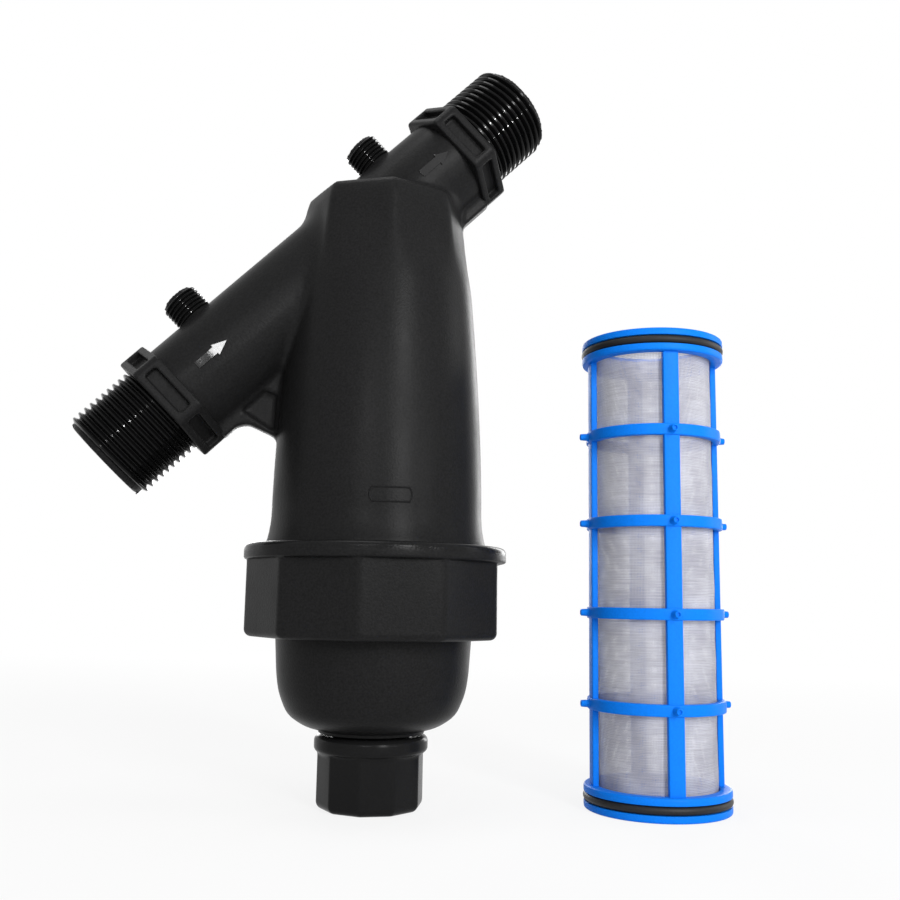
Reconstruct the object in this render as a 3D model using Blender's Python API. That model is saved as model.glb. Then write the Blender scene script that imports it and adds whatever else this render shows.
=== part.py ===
"""A screen filter for a one inch water line: a black moulded housing, with its blue cartridge beside it.

The housing stands upright on its drain cap, with +Z up and the origin at the centre of the cap's flat bottom.
Its threaded run crosses the top of the body at 45 degrees, in the plane of X and Z.
Heights are stacked from the cap up, and radii outwards from the cartridge's bore, so that pieces stay seated.
Sizes below are in millimetres, and every mesh is scaled to metres as it is made.
"""

import math

import bmesh
import bpy
from mathutils import Matrix, Vector

MM = 0.001
STEPS = 36
BODY_STEPS = 40
GAP = 0.3
CUT_OVER = 4.0
THREAD_CLEARANCE = 0.3

# Screen cartridge, in its own frame: its axis is +Z and its lower end is at zero
CARTRIDGE_SPACE = 26.4
CARTRIDGE_Y = -9.0
CARTRIDGE_TURN = -4.0
CARTRIDGE_LENGTH = 156.0
FRAME_BORE_R = 20.0
END_WALL = 4.0
END_HEIGHT = 7.6
END_CHAMFER = 0.5
BAR_COUNT = 4
BAR_WIDTH = 5.2
BAR_DEPTH = 2.1
RING_COUNT = 4
RING_DEPTH = 2.7
RING_HEIGHT = 3.7
PEG_LENGTH = 2.7
PEG_BASE = 1.25
PEG_TIP = 0.9
PEG_CHAMFER = 0.3
PEG_SIDES = 8
SCREEN_WALL = 0.4
SCREEN_END_INSET = 1.2
SEAL_R = 1.35
SEAL_PROUD = 0.2
SEAL_STEPS = 8

# Drain cap and its gasket, from the cap's flat bottom upwards
CAP_FLOOR = 4.3
GASKET_THICK = 1.7
GASKET_HOLE_R = 9.8
CAP_HEIGHT = 23.1
CAP_BEAD_HEIGHT = 5.5
CAP_BEAD_PROUD = 1.1
CAP_BEAD_ROUND = 1.9
CAP_BEAD_GROOVE = 0.5
CAP_WALL = 3.8
CAP_SIDES = 10
CAP_TURN = 2.5
CAP_ROUND = 2.6
CAP_CHAMFER = 0.6

# Sediment bowl: its neck, and heights above the neck's collar
NECK_BORE_R = 9.6
NECK_WALL = 3.6
NECK_CHAMFER = 0.8
NECK_COLLAR_PROUD = 4.0
NECK_COLLAR_HEIGHT = 1.0
CAP_TOP_CLEARANCE = 0.6
FUNNEL_RISE = 0.9
FUNNEL_SHELF = 3.0
FUNNEL_SHELF_DROP = 1.4
BOWL_HIP_RISE = 2.2
BOWL_HIP_INSET = 10.5
BOWL_ROUND_RISE = 5.7
BOWL_ROUND_INSET = 5.0
BOWL_SEAT_RISE = 6.3
BOWL_SIDE_RISE = 18.3
BOWL_DRAFT = 1.2
BOWL_STEP = 0.7
BOWL_WALL = 2.6
BOWL_SEAT_LENGTH = 8.4
BOWL_SEAT_LEAD = 3.4
FLANGE_THICK = 4.5
ORING_INSET = 1.7
ORING_GROOVE_WIDTH = 2.4
ORING_GROOVE_DEPTH = 1.7
ORING_STEPS = 6

# Clamp nut: its lip carries the bowl's flange, and its rim ends under the foot of the body
NUT_RISE = 30.3
NUT_LIP = 5.5
NUT_LIP_CLEARANCE = 0.8
NUT_LIP_CHAMFER = 0.8
NUT_WALL = 4.6
NUT_SIDES = 10
NUT_TURN = 6.5
NUT_ROUND = 2.4
NUT_RIM_HEIGHT = 4.9
NUT_RIM_PROUD = 0.8
NUT_RIM_ROUND = 1.6

# Male thread at the foot of the body, inside the nut
MALE_LENGTH = 17.4
MALE_PROUD = 2.7
MALE_WALL = 4.4
MALE_CHAMFER = 1.0
MALE_PITCH = 5.0
MALE_THREAD_DEPTH = 1.3
MALE_THREAD_RELIEF = 1.4
MALE_STEPS = 32

# Body: a cone with a flared foot below and an octagonal crown above
FOOT_STEP = 1.8
FOOT_FLARE = 1.6
FOOT_FLARE_POWER = 2.5
FLARE_HEIGHT = 12.6
FLARE_LEVELS = 3
CHAMBER_SPACE = 10.5
BODY_TAPER_POWER = 1.6
BODY_WALL = 2.6
CONE_LEVELS = 7
CROWN_MARGIN = 3.3
CROWN_RISE = 17.2
CROWN_HEIGHT = 5.2
CROWN_WALL = 4.0
CROWN_SIDES = 8
CROWN_ROUND = 1.8
CROWN_TAPER = 0.26
FACET_HEIGHT = 35.5
FACET_FULL_HEIGHT = 9.5
FACET_SHARPNESS = 0.94

# Seat for the screen's upper end, and the outlet space above it
SEAT_LENGTH = 10.0
SEAT_LEAD = 4.0
SEAT_CLEARANCE = 0.4
STOP_LEDGE = 2.8
CHAMBER_LEVELS = 5

# Run: the straight threaded pipe, measured along its own axis from where it crosses the body's axis
RUN_ANGLE = 45.0
RUN_DROP = 5.1
RUN_BORE_R = 12.0
RUN_WALL = 4.62
INLET_COLLAR_S = -91.8
OUTLET_COLLAR_S = 30.3
COLLAR_LENGTH = 9.7
COLLAR_PROUD = 1.38
COLLAR_CHAMFER = 0.7
COLLAR_LAP = 1.0
POCKET_RIM = 2.65
POCKET_END_RIM = 2.39
POCKET_DEPTH = 2.4
THREAD_LENGTH = 24.4
THREAD_CHAMFER = 1.2
THREAD_WAIST = 0.9
PIPE_PITCH = 2.309
PIPE_THREAD_DEPTH = 1.42
PIPE_STEPS = 24
INLET_WAY_END_S = -18.0
OUTLET_WAY_START_S = -2.0
DAM_SPACE = 6.6
DAM_DROP = 1.0

# Test nipples on the upper side of the run
NIPPLE_FROM_COLLAR = 19.4
NIPPLE_R = 6.58
NIPPLE_RISE = 8.78
NIPPLE_ROOT_LAP = 3.0
NIPPLE_HOLE_R = 3.1
NIPPLE_HOLE_DEPTH = 8.0
NIPPLE_CHAMFER = 0.8

# Webs under the run
WEB_THICK = 6.4
WEB_RECESS = 1.9
WEB_RIM = 2.6
WEB_LAP = 2.1
INLET_WEB_DROP = 79.2
INLET_WEB_REACH = 12.6
INLET_WEB_EDGE = 1.0
INLET_WEB_TOE = 3.5
OUTLET_WEB_PROUD = 3.98
OUTLET_WEB_LENGTH = 16.3

BLACK = (0.028, 0.028, 0.030, 1.0)
RUBBER = (0.012, 0.012, 0.013, 1.0)
BLUE = (0.010, 0.205, 0.870, 1.0)
MESH_GREY = (0.560, 0.560, 0.600, 1.0)

# Radii, outwards from the cartridge's bore
end_r = FRAME_BORE_R + END_WALL
bar_r = FRAME_BORE_R + BAR_DEPTH
ring_r = FRAME_BORE_R + RING_DEPTH
peg_tip_r = ring_r + PEG_LENGTH
seat_r = end_r + SEAT_CLEARANCE
crown_r = seat_r + CROWN_MARGIN
waist_r = seat_r + CHAMBER_SPACE
male_r = waist_r + MALE_PROUD
male_bore_r = male_r - MALE_WALL
nut_bore_r = male_r + THREAD_CLEARANCE
nut_corner_r = nut_bore_r + NUT_WALL
nut_rim_r = nut_corner_r + NUT_RIM_PROUD
bowl_r = male_bore_r - BOWL_STEP
side_low_r = bowl_r - BOWL_DRAFT
neck_r = NECK_BORE_R + NECK_WALL
cap_bore_r = neck_r + THREAD_CLEARANCE
cap_r = cap_bore_r + CAP_WALL
run_r = RUN_BORE_R + RUN_WALL

# Heights, from the cap upwards
neck_bottom_z = CAP_FLOOR + GASKET_THICK + 2 * GAP
neck_collar_z = CAP_HEIGHT + CAP_TOP_CLEARANCE
seat_floor_z = neck_collar_z + BOWL_SEAT_RISE
nut_bottom_z = neck_collar_z + NUT_RISE
flange_low_z = nut_bottom_z + NUT_LIP + GAP
flange_high_z = flange_low_z + FLANGE_THICK
male_bottom_z = flange_high_z + GAP
male_top_z = male_bottom_z + MALE_LENGTH
foot_z = male_top_z + FOOT_STEP
nut_top_z = foot_z - GAP
waist_z = foot_z + FLARE_HEIGHT
stop_z = seat_floor_z + CARTRIDGE_LENGTH + GAP
crown_z = stop_z + CROWN_RISE
shoulder_z = crown_z - CROWN_HEIGHT
run_z = crown_z - RUN_DROP

cartridge_x = nut_rim_r + CARTRIDGE_SPACE + end_r
cartridge_frame = Matrix.Translation((cartridge_x, CARTRIDGE_Y, 0)) @ Matrix.Rotation(
    math.radians(CARTRIDGE_TURN), 4, "Z"
)
run_frame = Matrix.Translation((0, 0, run_z)) @ Matrix.Rotation(math.radians(90 - RUN_ANGLE), 4, "Y")
round_run_frame = run_frame @ Matrix.Rotation(math.pi / STEPS, 4, "Z")


def material(name, colour, roughness):
    made = bpy.data.materials.new(name)
    made.use_nodes = True
    made.diffuse_color = colour
    shader = made.node_tree.nodes["Principled BSDF"]
    shader.inputs["Base Color"].default_value = colour
    shader.inputs["Roughness"].default_value = roughness
    shader.inputs["Metallic"].default_value = 0.0
    return made


def to_object(name, bm, frame=None):
    """Closes a bmesh made in millimetres into an object in metres, with its faces pointing out."""
    if frame is not None:
        bm.transform(frame)
    bm.transform(Matrix.Scale(MM, 4))
    bmesh.ops.recalc_face_normals(bm, faces=bm.faces)
    mesh = bpy.data.meshes.new(name)
    bm.to_mesh(mesh)
    bm.free()
    mesh.shade_smooth()
    mesh.set_sharp_from_angle(angle=math.radians(30))
    made = bpy.data.objects.new(name, mesh)
    bpy.context.scene.collection.objects.link(made)
    return made


def bridge(bm, loops, closed_tube):
    """Joins loops of equal length with quads, and caps the two ends unless they meet."""
    pairs = list(zip(loops, loops[1:]))
    if closed_tube:
        pairs.append((loops[-1], loops[0]))
    count = len(loops[0])
    for low, high in pairs:
        for k in range(count):
            n = (k + 1) % count
            bm.faces.new((low[k], low[n], high[n], high[k]))
    if not closed_tube:
        bm.faces.new(loops[0])
        bm.faces.new(loops[-1])


def angles(steps=STEPS):
    return [2 * math.pi * k / steps for k in range(steps)]


def add_turned(bm, profile, hollow, steps=STEPS):
    """A profile of (radius, height) points turned about Z: a closed outline if hollow, else a solid."""
    loops = []
    for r, z in profile:
        loops.append([bm.verts.new((r * math.cos(a), r * math.sin(a), z)) for a in angles(steps)])
    bridge(bm, loops, closed_tube=hollow)


def turned(name, profile, hollow, steps=STEPS, frame=None):
    bm = bmesh.new()
    add_turned(bm, profile, hollow, steps)
    return to_object(name, bm, frame)


def add_prism(bm, outline, low, high, frame=None):
    """An outline of (x, y) points, extruded along Z between two heights."""
    frame = frame or Matrix()
    loops = [[bm.verts.new(frame @ Vector((x, y, z))) for x, y in outline] for z in (low, high)]
    bridge(bm, loops, closed_tube=False)


def rectangle(width, height, x=0.0, y=0.0):
    w, h = width / 2, height / 2
    return [(x - w, y - h), (x + w, y - h), (x + w, y + h), (x - w, y + h)]


def arc(centre_r, centre_z, radius, start, end, points=6):
    """Points of a round corner in a profile, between two angles in degrees."""
    found = []
    for k in range(points):
        a = math.radians(start + (end - start) * k / (points - 1))
        found.append((centre_r + radius * math.cos(a), centre_z + radius * math.sin(a)))
    return found


def smooth_step(value, start, end):
    t = min(1.0, max(0.0, (value - start) / (end - start)))
    return t * t * (3 - 2 * t)


def polygon_radius(angle, corner_r, sides, turn):
    """Distance from the axis to a regular polygon's side, at an angle."""
    step = 2 * math.pi / sides
    off = (angle - math.radians(turn)) % step - step / 2
    return corner_r * math.cos(step / 2) / math.cos(off)


def use(target, other, operation):
    """A Boolean of one object with another, which is then only a guide."""
    step = target.modifiers.new(f"{operation.lower()} {other.name}", "BOOLEAN")
    step.operation = operation
    step.solver = "EXACT"
    step.object = other
    other.hide_render = True
    other.display_type = "WIRE"
    return target


def joined(target, other):
    return use(target, other, "UNION")


def cut(target, other):
    return use(target, other, "DIFFERENCE")


def threaded_rod(name, section, pitch, low, high, steps, frame=None):
    """A solid rod with a right-handed thread, from a section of (radius, share of the pitch) points.

    It runs a turn past both heights, so that a plain blank can cut its ends square. It stands half a step off
    the blank's facets and ends, so that no edge or corner of one falls on the other's.
    """
    first = low - pitch * (1 + 0.5 / steps)
    count = math.ceil((high - low + 2 * pitch) / pitch) * steps
    bm = bmesh.new()
    rows = []
    for k in range(count + 1):
        a = 2 * math.pi * (k + 0.5) / steps
        z = first + pitch * k / steps
        places = [(r * math.cos(a), r * math.sin(a), z + share * pitch) for r, share in section]
        rows.append([bm.verts.new(place) for place in places])
    for k in range(count):
        here, there = rows[k], rows[k + 1]
        for j in range(len(section) - 1):
            bm.faces.new((here[j], there[j], there[j + 1], here[j + 1]))
        if k + steps < count:
            bm.faces.new((here[-1], there[-1], rows[k + 1 + steps][0], rows[k + steps][0]))
    bottom = [rows[k][0] for k in range(steps + 1)] + rows[0][:0:-1]
    top = [rows[k][-1] for k in range(count - steps, count + 1)] + rows[count][-2::-1]
    for edge, z in ((bottom, first - pitch), (top, first + pitch * count / steps + 2 * pitch)):
        centre = bm.verts.new((0, 0, z))
        for here, there in zip(edge, edge[1:] + edge[:1]):
            bm.faces.new((here, there, centre))
    return to_object(name, bm, frame)


def body_radius(z):
    """Outer radius of the housing's cone at a height, with its flared foot."""
    up = max(0.0, (z - waist_z) / (shoulder_z - waist_z))
    down = max(0.0, (waist_z - z) / FLARE_HEIGHT)
    return waist_r - (waist_r - crown_r) * up**BODY_TAPER_POWER + FOOT_FLARE * down**FOOT_FLARE_POWER


def crown_radius(angle, z, radius):
    """The cone's round section, turning into an octagon towards the crown."""
    flat = polygon_radius(angle, radius, CROWN_SIDES, 0.0)
    share = FACET_SHARPNESS * smooth_step(z, crown_z - FACET_HEIGHT, crown_z - FACET_FULL_HEIGHT)
    return radius + share * (flat - radius)


def body_shell():
    """The housing's outer form, from the core of the male thread at its foot to the crown's rounded edge."""
    core_r = male_r - MALE_THREAD_DEPTH - GAP
    levels = [
        (male_bottom_z + MALE_CHAMFER, core_r),
        (male_top_z, core_r),
        (male_top_z, body_radius(foot_z)),
        (foot_z, body_radius(foot_z)),
    ]
    heights = [foot_z + FLARE_HEIGHT * k / FLARE_LEVELS for k in range(1, FLARE_LEVELS + 1)]
    heights += [waist_z + (shoulder_z - waist_z) * k / CONE_LEVELS for k in range(1, CONE_LEVELS + 1)]
    levels += [(z, body_radius(z)) for z in heights]
    edge_z = crown_z - CROWN_ROUND
    edge_r = body_radius(shoulder_z) - CROWN_TAPER * (edge_z - shoulder_z)
    levels += [(z, r) for r, z in arc(edge_r - CROWN_ROUND, edge_z, CROWN_ROUND, 0, 90, 5)]
    bm = bmesh.new()
    loops = []
    for z, r in levels:
        ring = [(crown_radius(a, z, r), a) for a in angles(BODY_STEPS)]
        loops.append([bm.verts.new((d * math.cos(a), d * math.sin(a), z)) for d, a in ring])
    bridge(bm, loops, closed_tube=False)
    return to_object("housing_body", bm)


def male_thread():
    """The coarse thread under the nut, with a chamfered start and a plain relief below the foot."""
    root_r = male_r - MALE_THREAD_DEPTH
    section = [(root_r, 0.0), (male_r, 0.3), (male_r, 0.7)]
    rod = threaded_rod("guide_male_thread", section, MALE_PITCH, male_bottom_z, male_top_z, MALE_STEPS)
    blank = [
        (male_r - MALE_CHAMFER, male_bottom_z),
        (male_r + GAP, male_bottom_z + MALE_CHAMFER + GAP),
        (male_r + GAP, male_top_z - MALE_THREAD_RELIEF),
    ]
    return use(rod, turned("guide_male_blank", blank, hollow=False, steps=MALE_STEPS), "INTERSECT")


def run_pipe():
    """The run's plain outer form, which ends inside the two collars."""
    low = INLET_COLLAR_S - COLLAR_LENGTH / 2 + COLLAR_LAP
    high = OUTLET_COLLAR_S + COLLAR_LENGTH / 2 - COLLAR_LAP
    return turned("guide_run_pipe", [(run_r, low), (run_r, high)], hollow=False, frame=round_run_frame)


def pipe_thread(label, start, direction):
    """A threaded end of the run, from inside its collar to the chamfered mouth."""
    inner = start + direction * (COLLAR_LENGTH / 2 + COLLAR_LAP)
    mouth = start + direction * (COLLAR_LENGTH + THREAD_LENGTH)
    section = [(run_r - PIPE_THREAD_DEPTH, 0.0), (run_r, 0.5)]
    low, high = min(inner, mouth), max(inner, mouth)
    rod = threaded_rod(f"guide_{label}_thread", section, PIPE_PITCH, low, high, PIPE_STEPS, round_run_frame)
    outer = run_r + GAP
    blank = [
        (outer, inner),
        (outer, mouth - direction * (THREAD_CHAMFER + GAP)),
        (run_r - THREAD_WAIST, mouth),
    ]
    guide = turned(f"guide_{label}_blank", blank, hollow=False, steps=PIPE_STEPS, frame=round_run_frame)
    return use(rod, guide, "INTERSECT")


def collar_flat():
    """Distance from the run's axis to a collar's flats."""
    return run_r + COLLAR_PROUD


def collar(name, start, direction):
    """A hexagonal wrench collar on the run, with two of its flats square to Y."""
    corner = collar_flat() / math.cos(math.pi / 6)
    end = start + direction * COLLAR_LENGTH
    inner = COLLAR_CHAMFER * direction
    levels = (
        (start, corner - COLLAR_CHAMFER),
        (start + inner, corner),
        (end - inner, corner),
        (end, corner - COLLAR_CHAMFER),
    )
    bm = bmesh.new()
    loops = [[bm.verts.new((r * math.cos(a), r * math.sin(a), s)) for a in angles(6)] for s, r in levels]
    bridge(bm, loops, closed_tube=False)
    return to_object(name, bm, run_frame)


def collar_pockets(name, start, direction):
    """Six shallow pockets, one sunk in each flat of a collar."""
    middle = start + direction * COLLAR_LENGTH / 2
    floor = collar_flat() - POCKET_DEPTH
    side = 2 * collar_flat() * math.tan(math.pi / 6)
    outline = rectangle(COLLAR_LENGTH - 2 * POCKET_RIM, side - 2 * POCKET_END_RIM)
    bm = bmesh.new()
    for k in range(6):
        turn = Matrix.Rotation(math.radians(30 + 60 * k), 4, "Z")
        face = run_frame @ turn @ Matrix.Translation((0, 0, middle)) @ Matrix.Rotation(math.pi / 2, 4, "Y")
        add_prism(bm, outline, floor, floor + POCKET_DEPTH + CUT_OVER, face)
    return to_object(name, bm)


def nipple_frame(s):
    """A frame on the run's axis, with +Z pointing up and away from the run, in the plane of X and Z."""
    return run_frame @ Matrix.Translation((0, 0, s)) @ Matrix.Rotation(math.radians(-90), 4, "Y")


def nipple(name, s):
    top = run_r + NIPPLE_RISE
    profile = [
        (NIPPLE_R, run_r - NIPPLE_ROOT_LAP),
        (NIPPLE_R, top - NIPPLE_CHAMFER),
        (NIPPLE_R - NIPPLE_CHAMFER, top),
    ]
    return turned(name, profile, hollow=False, steps=28, frame=nipple_frame(s))


def nipple_hole(name, s):
    top = run_r + NIPPLE_RISE
    profile = [(NIPPLE_HOLE_R, top - NIPPLE_HOLE_DEPTH), (NIPPLE_HOLE_R, top + CUT_OVER)]
    return turned(name, profile, hollow=False, steps=20, frame=nipple_frame(s))


def on_run(s, n):
    """The (x, z) place of a point s along the run and n above it."""
    a = math.radians(RUN_ANGLE)
    return s * math.cos(a) - n * math.sin(a), run_z + s * math.sin(a) + n * math.cos(a)


def run_s_at(x, n):
    """How far along the run a point n above it has this x."""
    a = math.radians(RUN_ANGLE)
    return (x + n * math.sin(a)) / math.cos(a)


def upright_plate(name, outline, thick, offset=0.0):
    """An outline of (x, z) points, extruded along Y about a middle plane."""
    face = Matrix.Rotation(math.pi / 2, 4, "X")
    bm = bmesh.new()
    add_prism(bm, outline, -offset - thick / 2, -offset + thick / 2, face)
    return to_object(name, bm)


def inlet_web_outline():
    """The triangle under the lower arm: along the arm, down to the web's foot on the body, and into both."""
    foot = run_z - INLET_WEB_DROP
    out_x = -body_radius(foot) - INLET_WEB_REACH
    inside_x = -body_radius(foot) + WEB_LAP
    arm_s = run_s_at(out_x, -run_r)
    inner = on_run(run_s_at(inside_x, -run_r) + WEB_LAP, -run_r + WEB_LAP)
    return [
        on_run(arm_s, -run_r + WEB_LAP),
        on_run(arm_s, -run_r - INLET_WEB_EDGE),
        (inside_x - INLET_WEB_TOE, foot + INLET_WEB_EDGE / 2),
        (inside_x, foot),
        (inside_x, inner[1]),
        inner,
    ]


def inlet_web_recess():
    """The sunk middle of that triangle, a rim's width inside it."""
    foot = run_z - INLET_WEB_DROP
    face_x = -body_radius(foot) - GAP
    out_x = face_x - INLET_WEB_REACH + WEB_RIM
    low = foot + 1.5 * WEB_RIM
    under = -run_r - INLET_WEB_EDGE / 2
    arm_s = run_s_at(out_x, under)
    top_s = run_s_at(face_x, under)
    return [
        on_run(arm_s, under),
        on_run(arm_s + WEB_RIM / 2, under - WEB_RIM),
        (face_x, low),
        (face_x, on_run(top_s, under)[1] - INLET_WEB_EDGE),
        on_run(top_s - 1.5 * INLET_WEB_EDGE, under),
    ]


def outlet_web_outline():
    start = OUTLET_COLLAR_S + COLLAR_LAP
    end = OUTLET_COLLAR_S - OUTLET_WEB_LENGTH
    under = -run_r - OUTLET_WEB_PROUD
    inside = -run_r + WEB_LAP
    return [on_run(start, under), on_run(start, inside), on_run(end, inside), on_run(end, under)]


def chamber():
    """The housing's inside: the chamber, the screen's seat with its lead-in, and the space over its ledge."""
    seat_low = stop_z - SEAT_LENGTH
    lead_low = seat_low - SEAT_LEAD
    roof = crown_z - CROWN_WALL
    ledge_r = seat_r - STOP_LEDGE
    profile = [(male_bore_r, male_bottom_z - CUT_OVER), (male_bore_r, foot_z)]
    for k in range(1, CHAMBER_LEVELS + 1):
        z = foot_z + (lead_low - foot_z) * k / CHAMBER_LEVELS
        profile.append((min(male_bore_r, body_radius(z) - BODY_WALL), z))
    profile += [
        (seat_r, seat_low),
        (seat_r, stop_z),
        (ledge_r, stop_z),
        (ledge_r, roof - CROWN_ROUND),
        (ledge_r - CROWN_ROUND, roof),
    ]
    return turned("cut_chamber", profile, hollow=False)


def inlet_way():
    """The inlet bore, which stops at a dam beside the seat and opens into the chamber below it."""
    mouth = INLET_COLLAR_S - COLLAR_LENGTH - THREAD_LENGTH - CUT_OVER
    profile = [(RUN_BORE_R, mouth), (RUN_BORE_R, INLET_WAY_END_S)]
    way = turned("cut_inlet", profile, hollow=False, frame=round_run_frame)
    wide = 2 * (seat_r + DAM_SPACE)
    low = stop_z - SEAT_LENGTH - SEAT_LEAD - DAM_DROP
    bm = bmesh.new()
    add_prism(bm, rectangle(wide, wide), low, run_z + wide)
    return cut(way, to_object("guide_dam", bm))


def outlet_way():
    mouth = OUTLET_COLLAR_S + COLLAR_LENGTH + THREAD_LENGTH + CUT_OVER
    profile = [(RUN_BORE_R, OUTLET_WAY_START_S), (RUN_BORE_R, mouth)]
    return turned("cut_outlet", profile, hollow=False, frame=round_run_frame)


def housing_body():
    body = body_shell()
    joined(body, male_thread())
    joined(body, run_pipe())
    for label, start, direction in (("inlet", INLET_COLLAR_S, -1), ("outlet", OUTLET_COLLAR_S, 1)):
        joined(body, collar(f"guide_{label}_collar", start, direction))
        joined(body, pipe_thread(label, start, direction))
        joined(body, nipple(f"guide_{label}_nipple", start - direction * NIPPLE_FROM_COLLAR))
    joined(body, upright_plate("guide_inlet_web", inlet_web_outline(), WEB_THICK))
    joined(body, upright_plate("guide_outlet_web", outlet_web_outline(), WEB_THICK))
    for side in (-1, 1):
        face_y = side * WEB_THICK / 2
        recess = upright_plate(f"cut_inlet_web_{side}", inlet_web_recess(), 2 * WEB_RECESS, face_y)
        cut(body, recess)
    for label, start, direction in (("inlet", INLET_COLLAR_S, -1), ("outlet", OUTLET_COLLAR_S, 1)):
        cut(body, collar_pockets(f"cut_{label}_pockets", start, direction))
        cut(body, nipple_hole(f"cut_{label}_nipple", start - direction * NIPPLE_FROM_COLLAR))
    cut(body, chamber())
    cut(body, inlet_way())
    cut(body, outlet_way())
    return body


def turned_facets(sides, turn, per_side):
    """Angles that put a vertex on every corner of a polygon."""
    count = sides * per_side
    return [math.radians(turn) + 2 * math.pi * k / count for k in range(count)]


def faceted_solid(name, levels, sides, turn, per_side):
    """A solid from levels of (height, corner radius, is faceted)."""
    bm = bmesh.new()
    loops = []
    for z, r, is_faceted in levels:
        loop = []
        for a in turned_facets(sides, turn, per_side):
            d = polygon_radius(a, r, sides, turn) if is_faceted else r
            loop.append(bm.verts.new((d * math.cos(a), d * math.sin(a), z)))
        loops.append(loop)
    bridge(bm, loops, closed_tube=False)
    return to_object(name, bm)


def clamp_nut():
    """A round rim over ten flats, threaded inside, with a lip below that carries the bowl's flange."""
    rim_z = nut_top_z - NUT_RIM_HEIGHT
    half_round = NUT_RIM_ROUND / 2
    levels = []
    for r, z in arc(nut_corner_r - NUT_ROUND, nut_bottom_z + NUT_ROUND, NUT_ROUND, -90, 0, 4):
        levels.append((z, r, True))
    levels.append((rim_z - GAP, nut_corner_r, True))
    for r, z in arc(nut_rim_r - half_round, rim_z + half_round, half_round, -90, 0, 3):
        levels.append((z, r, False))
    for r, z in arc(nut_rim_r - NUT_RIM_ROUND, nut_top_z - NUT_RIM_ROUND, NUT_RIM_ROUND, 0, 90, 5):
        levels.append((z, r, False))
    nut = faceted_solid("clamp_nut", levels, NUT_SIDES, NUT_TURN, per_side=5)
    lip_r = bowl_r + NUT_LIP_CLEARANCE
    shelf_z = nut_bottom_z + NUT_LIP
    bore = [
        (lip_r + NUT_LIP_CHAMFER, nut_bottom_z - CUT_OVER),
        (lip_r + NUT_LIP_CHAMFER, nut_bottom_z),
        (lip_r, nut_bottom_z + NUT_LIP_CHAMFER),
        (lip_r, shelf_z),
        (nut_bore_r, shelf_z),
        (nut_bore_r, nut_top_z - NUT_LIP_CHAMFER),
        (nut_bore_r + NUT_LIP_CHAMFER, nut_top_z),
        (nut_bore_r + NUT_LIP_CHAMFER, nut_top_z + CUT_OVER),
    ]
    return cut(nut, turned("cut_nut_bore", bore, hollow=False))


def bowl_curve():
    """The bowl's rounded bottom, from its hip to the foot of its drafted side."""
    hip = (bowl_r - BOWL_HIP_INSET, neck_collar_z + BOWL_HIP_RISE)
    bend = (bowl_r - BOWL_ROUND_INSET, neck_collar_z + BOWL_ROUND_RISE)
    side = (side_low_r, neck_collar_z + BOWL_SIDE_RISE)
    return [
        hip,
        (hip[0] + (bend[0] - hip[0]) * 0.62, hip[1] + (bend[1] - hip[1]) * 0.42),
        bend,
        (bend[0] + (side[0] - bend[0]) * 0.55, bend[1] + (side[1] - bend[1]) * 0.36),
        (bend[0] + (side[0] - bend[0]) * 0.86, bend[1] + (side[1] - bend[1]) * 0.70),
        side,
    ]


def sediment_bowl():
    """One turned moulding: flange, round bottom and drain neck outside, screen seat and funnel inside."""
    flange_r = nut_bore_r - 2 * GAP
    seat_high = seat_floor_z + BOWL_SEAT_LENGTH
    ledge_r = seat_r - STOP_LEDGE
    groove_r = male_bore_r + ORING_INSET
    half_groove = ORING_GROOVE_WIDTH / 2
    groove_z = flange_high_z - ORING_GROOVE_DEPTH
    neck = [
        (NECK_BORE_R, neck_bottom_z),
        (neck_r - NECK_CHAMFER, neck_bottom_z),
        (neck_r, neck_bottom_z + NECK_CHAMFER),
        (neck_r, neck_collar_z),
        (neck_r + NECK_COLLAR_PROUD, neck_collar_z),
        (neck_r + NECK_COLLAR_PROUD, neck_collar_z + NECK_COLLAR_HEIGHT),
    ]
    flange = [
        (bowl_r, flange_low_z),
        (flange_r, flange_low_z),
        (flange_r, flange_high_z),
        (groove_r + half_groove, flange_high_z),
        (groove_r + half_groove, groove_z),
        (groove_r - half_groove, groove_z),
        (groove_r - half_groove, flange_high_z),
        (bowl_r - BOWL_WALL, flange_high_z),
    ]
    inside = [
        (bowl_r - BOWL_WALL, flange_low_z),
        (side_low_r - BOWL_WALL, seat_high + BOWL_SEAT_LEAD),
        (seat_r, seat_high),
        (seat_r, seat_floor_z),
        (ledge_r, seat_floor_z),
        (ledge_r - FUNNEL_SHELF, seat_floor_z - FUNNEL_SHELF_DROP),
        (NECK_BORE_R, neck_collar_z + FUNNEL_RISE),
    ]
    return turned("sediment_bowl", neck + bowl_curve() + flange + inside, hollow=True)


def bowl_oring():
    """The ring in the groove on the bowl's flange, a gap clear of the groove and of the housing."""
    groove_r = male_bore_r + ORING_INSET
    low = flange_high_z - ORING_GROOVE_DEPTH + GAP
    middle = (low + flange_high_z) / 2
    half_w = ORING_GROOVE_WIDTH / 2 - GAP
    half_h = (flange_high_z - low) / 2
    around = angles(ORING_STEPS)
    outline = [(groove_r + half_w * math.cos(a), middle + half_h * math.sin(a)) for a in around]
    return turned("bowl_oring", outline, hollow=True)


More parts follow.
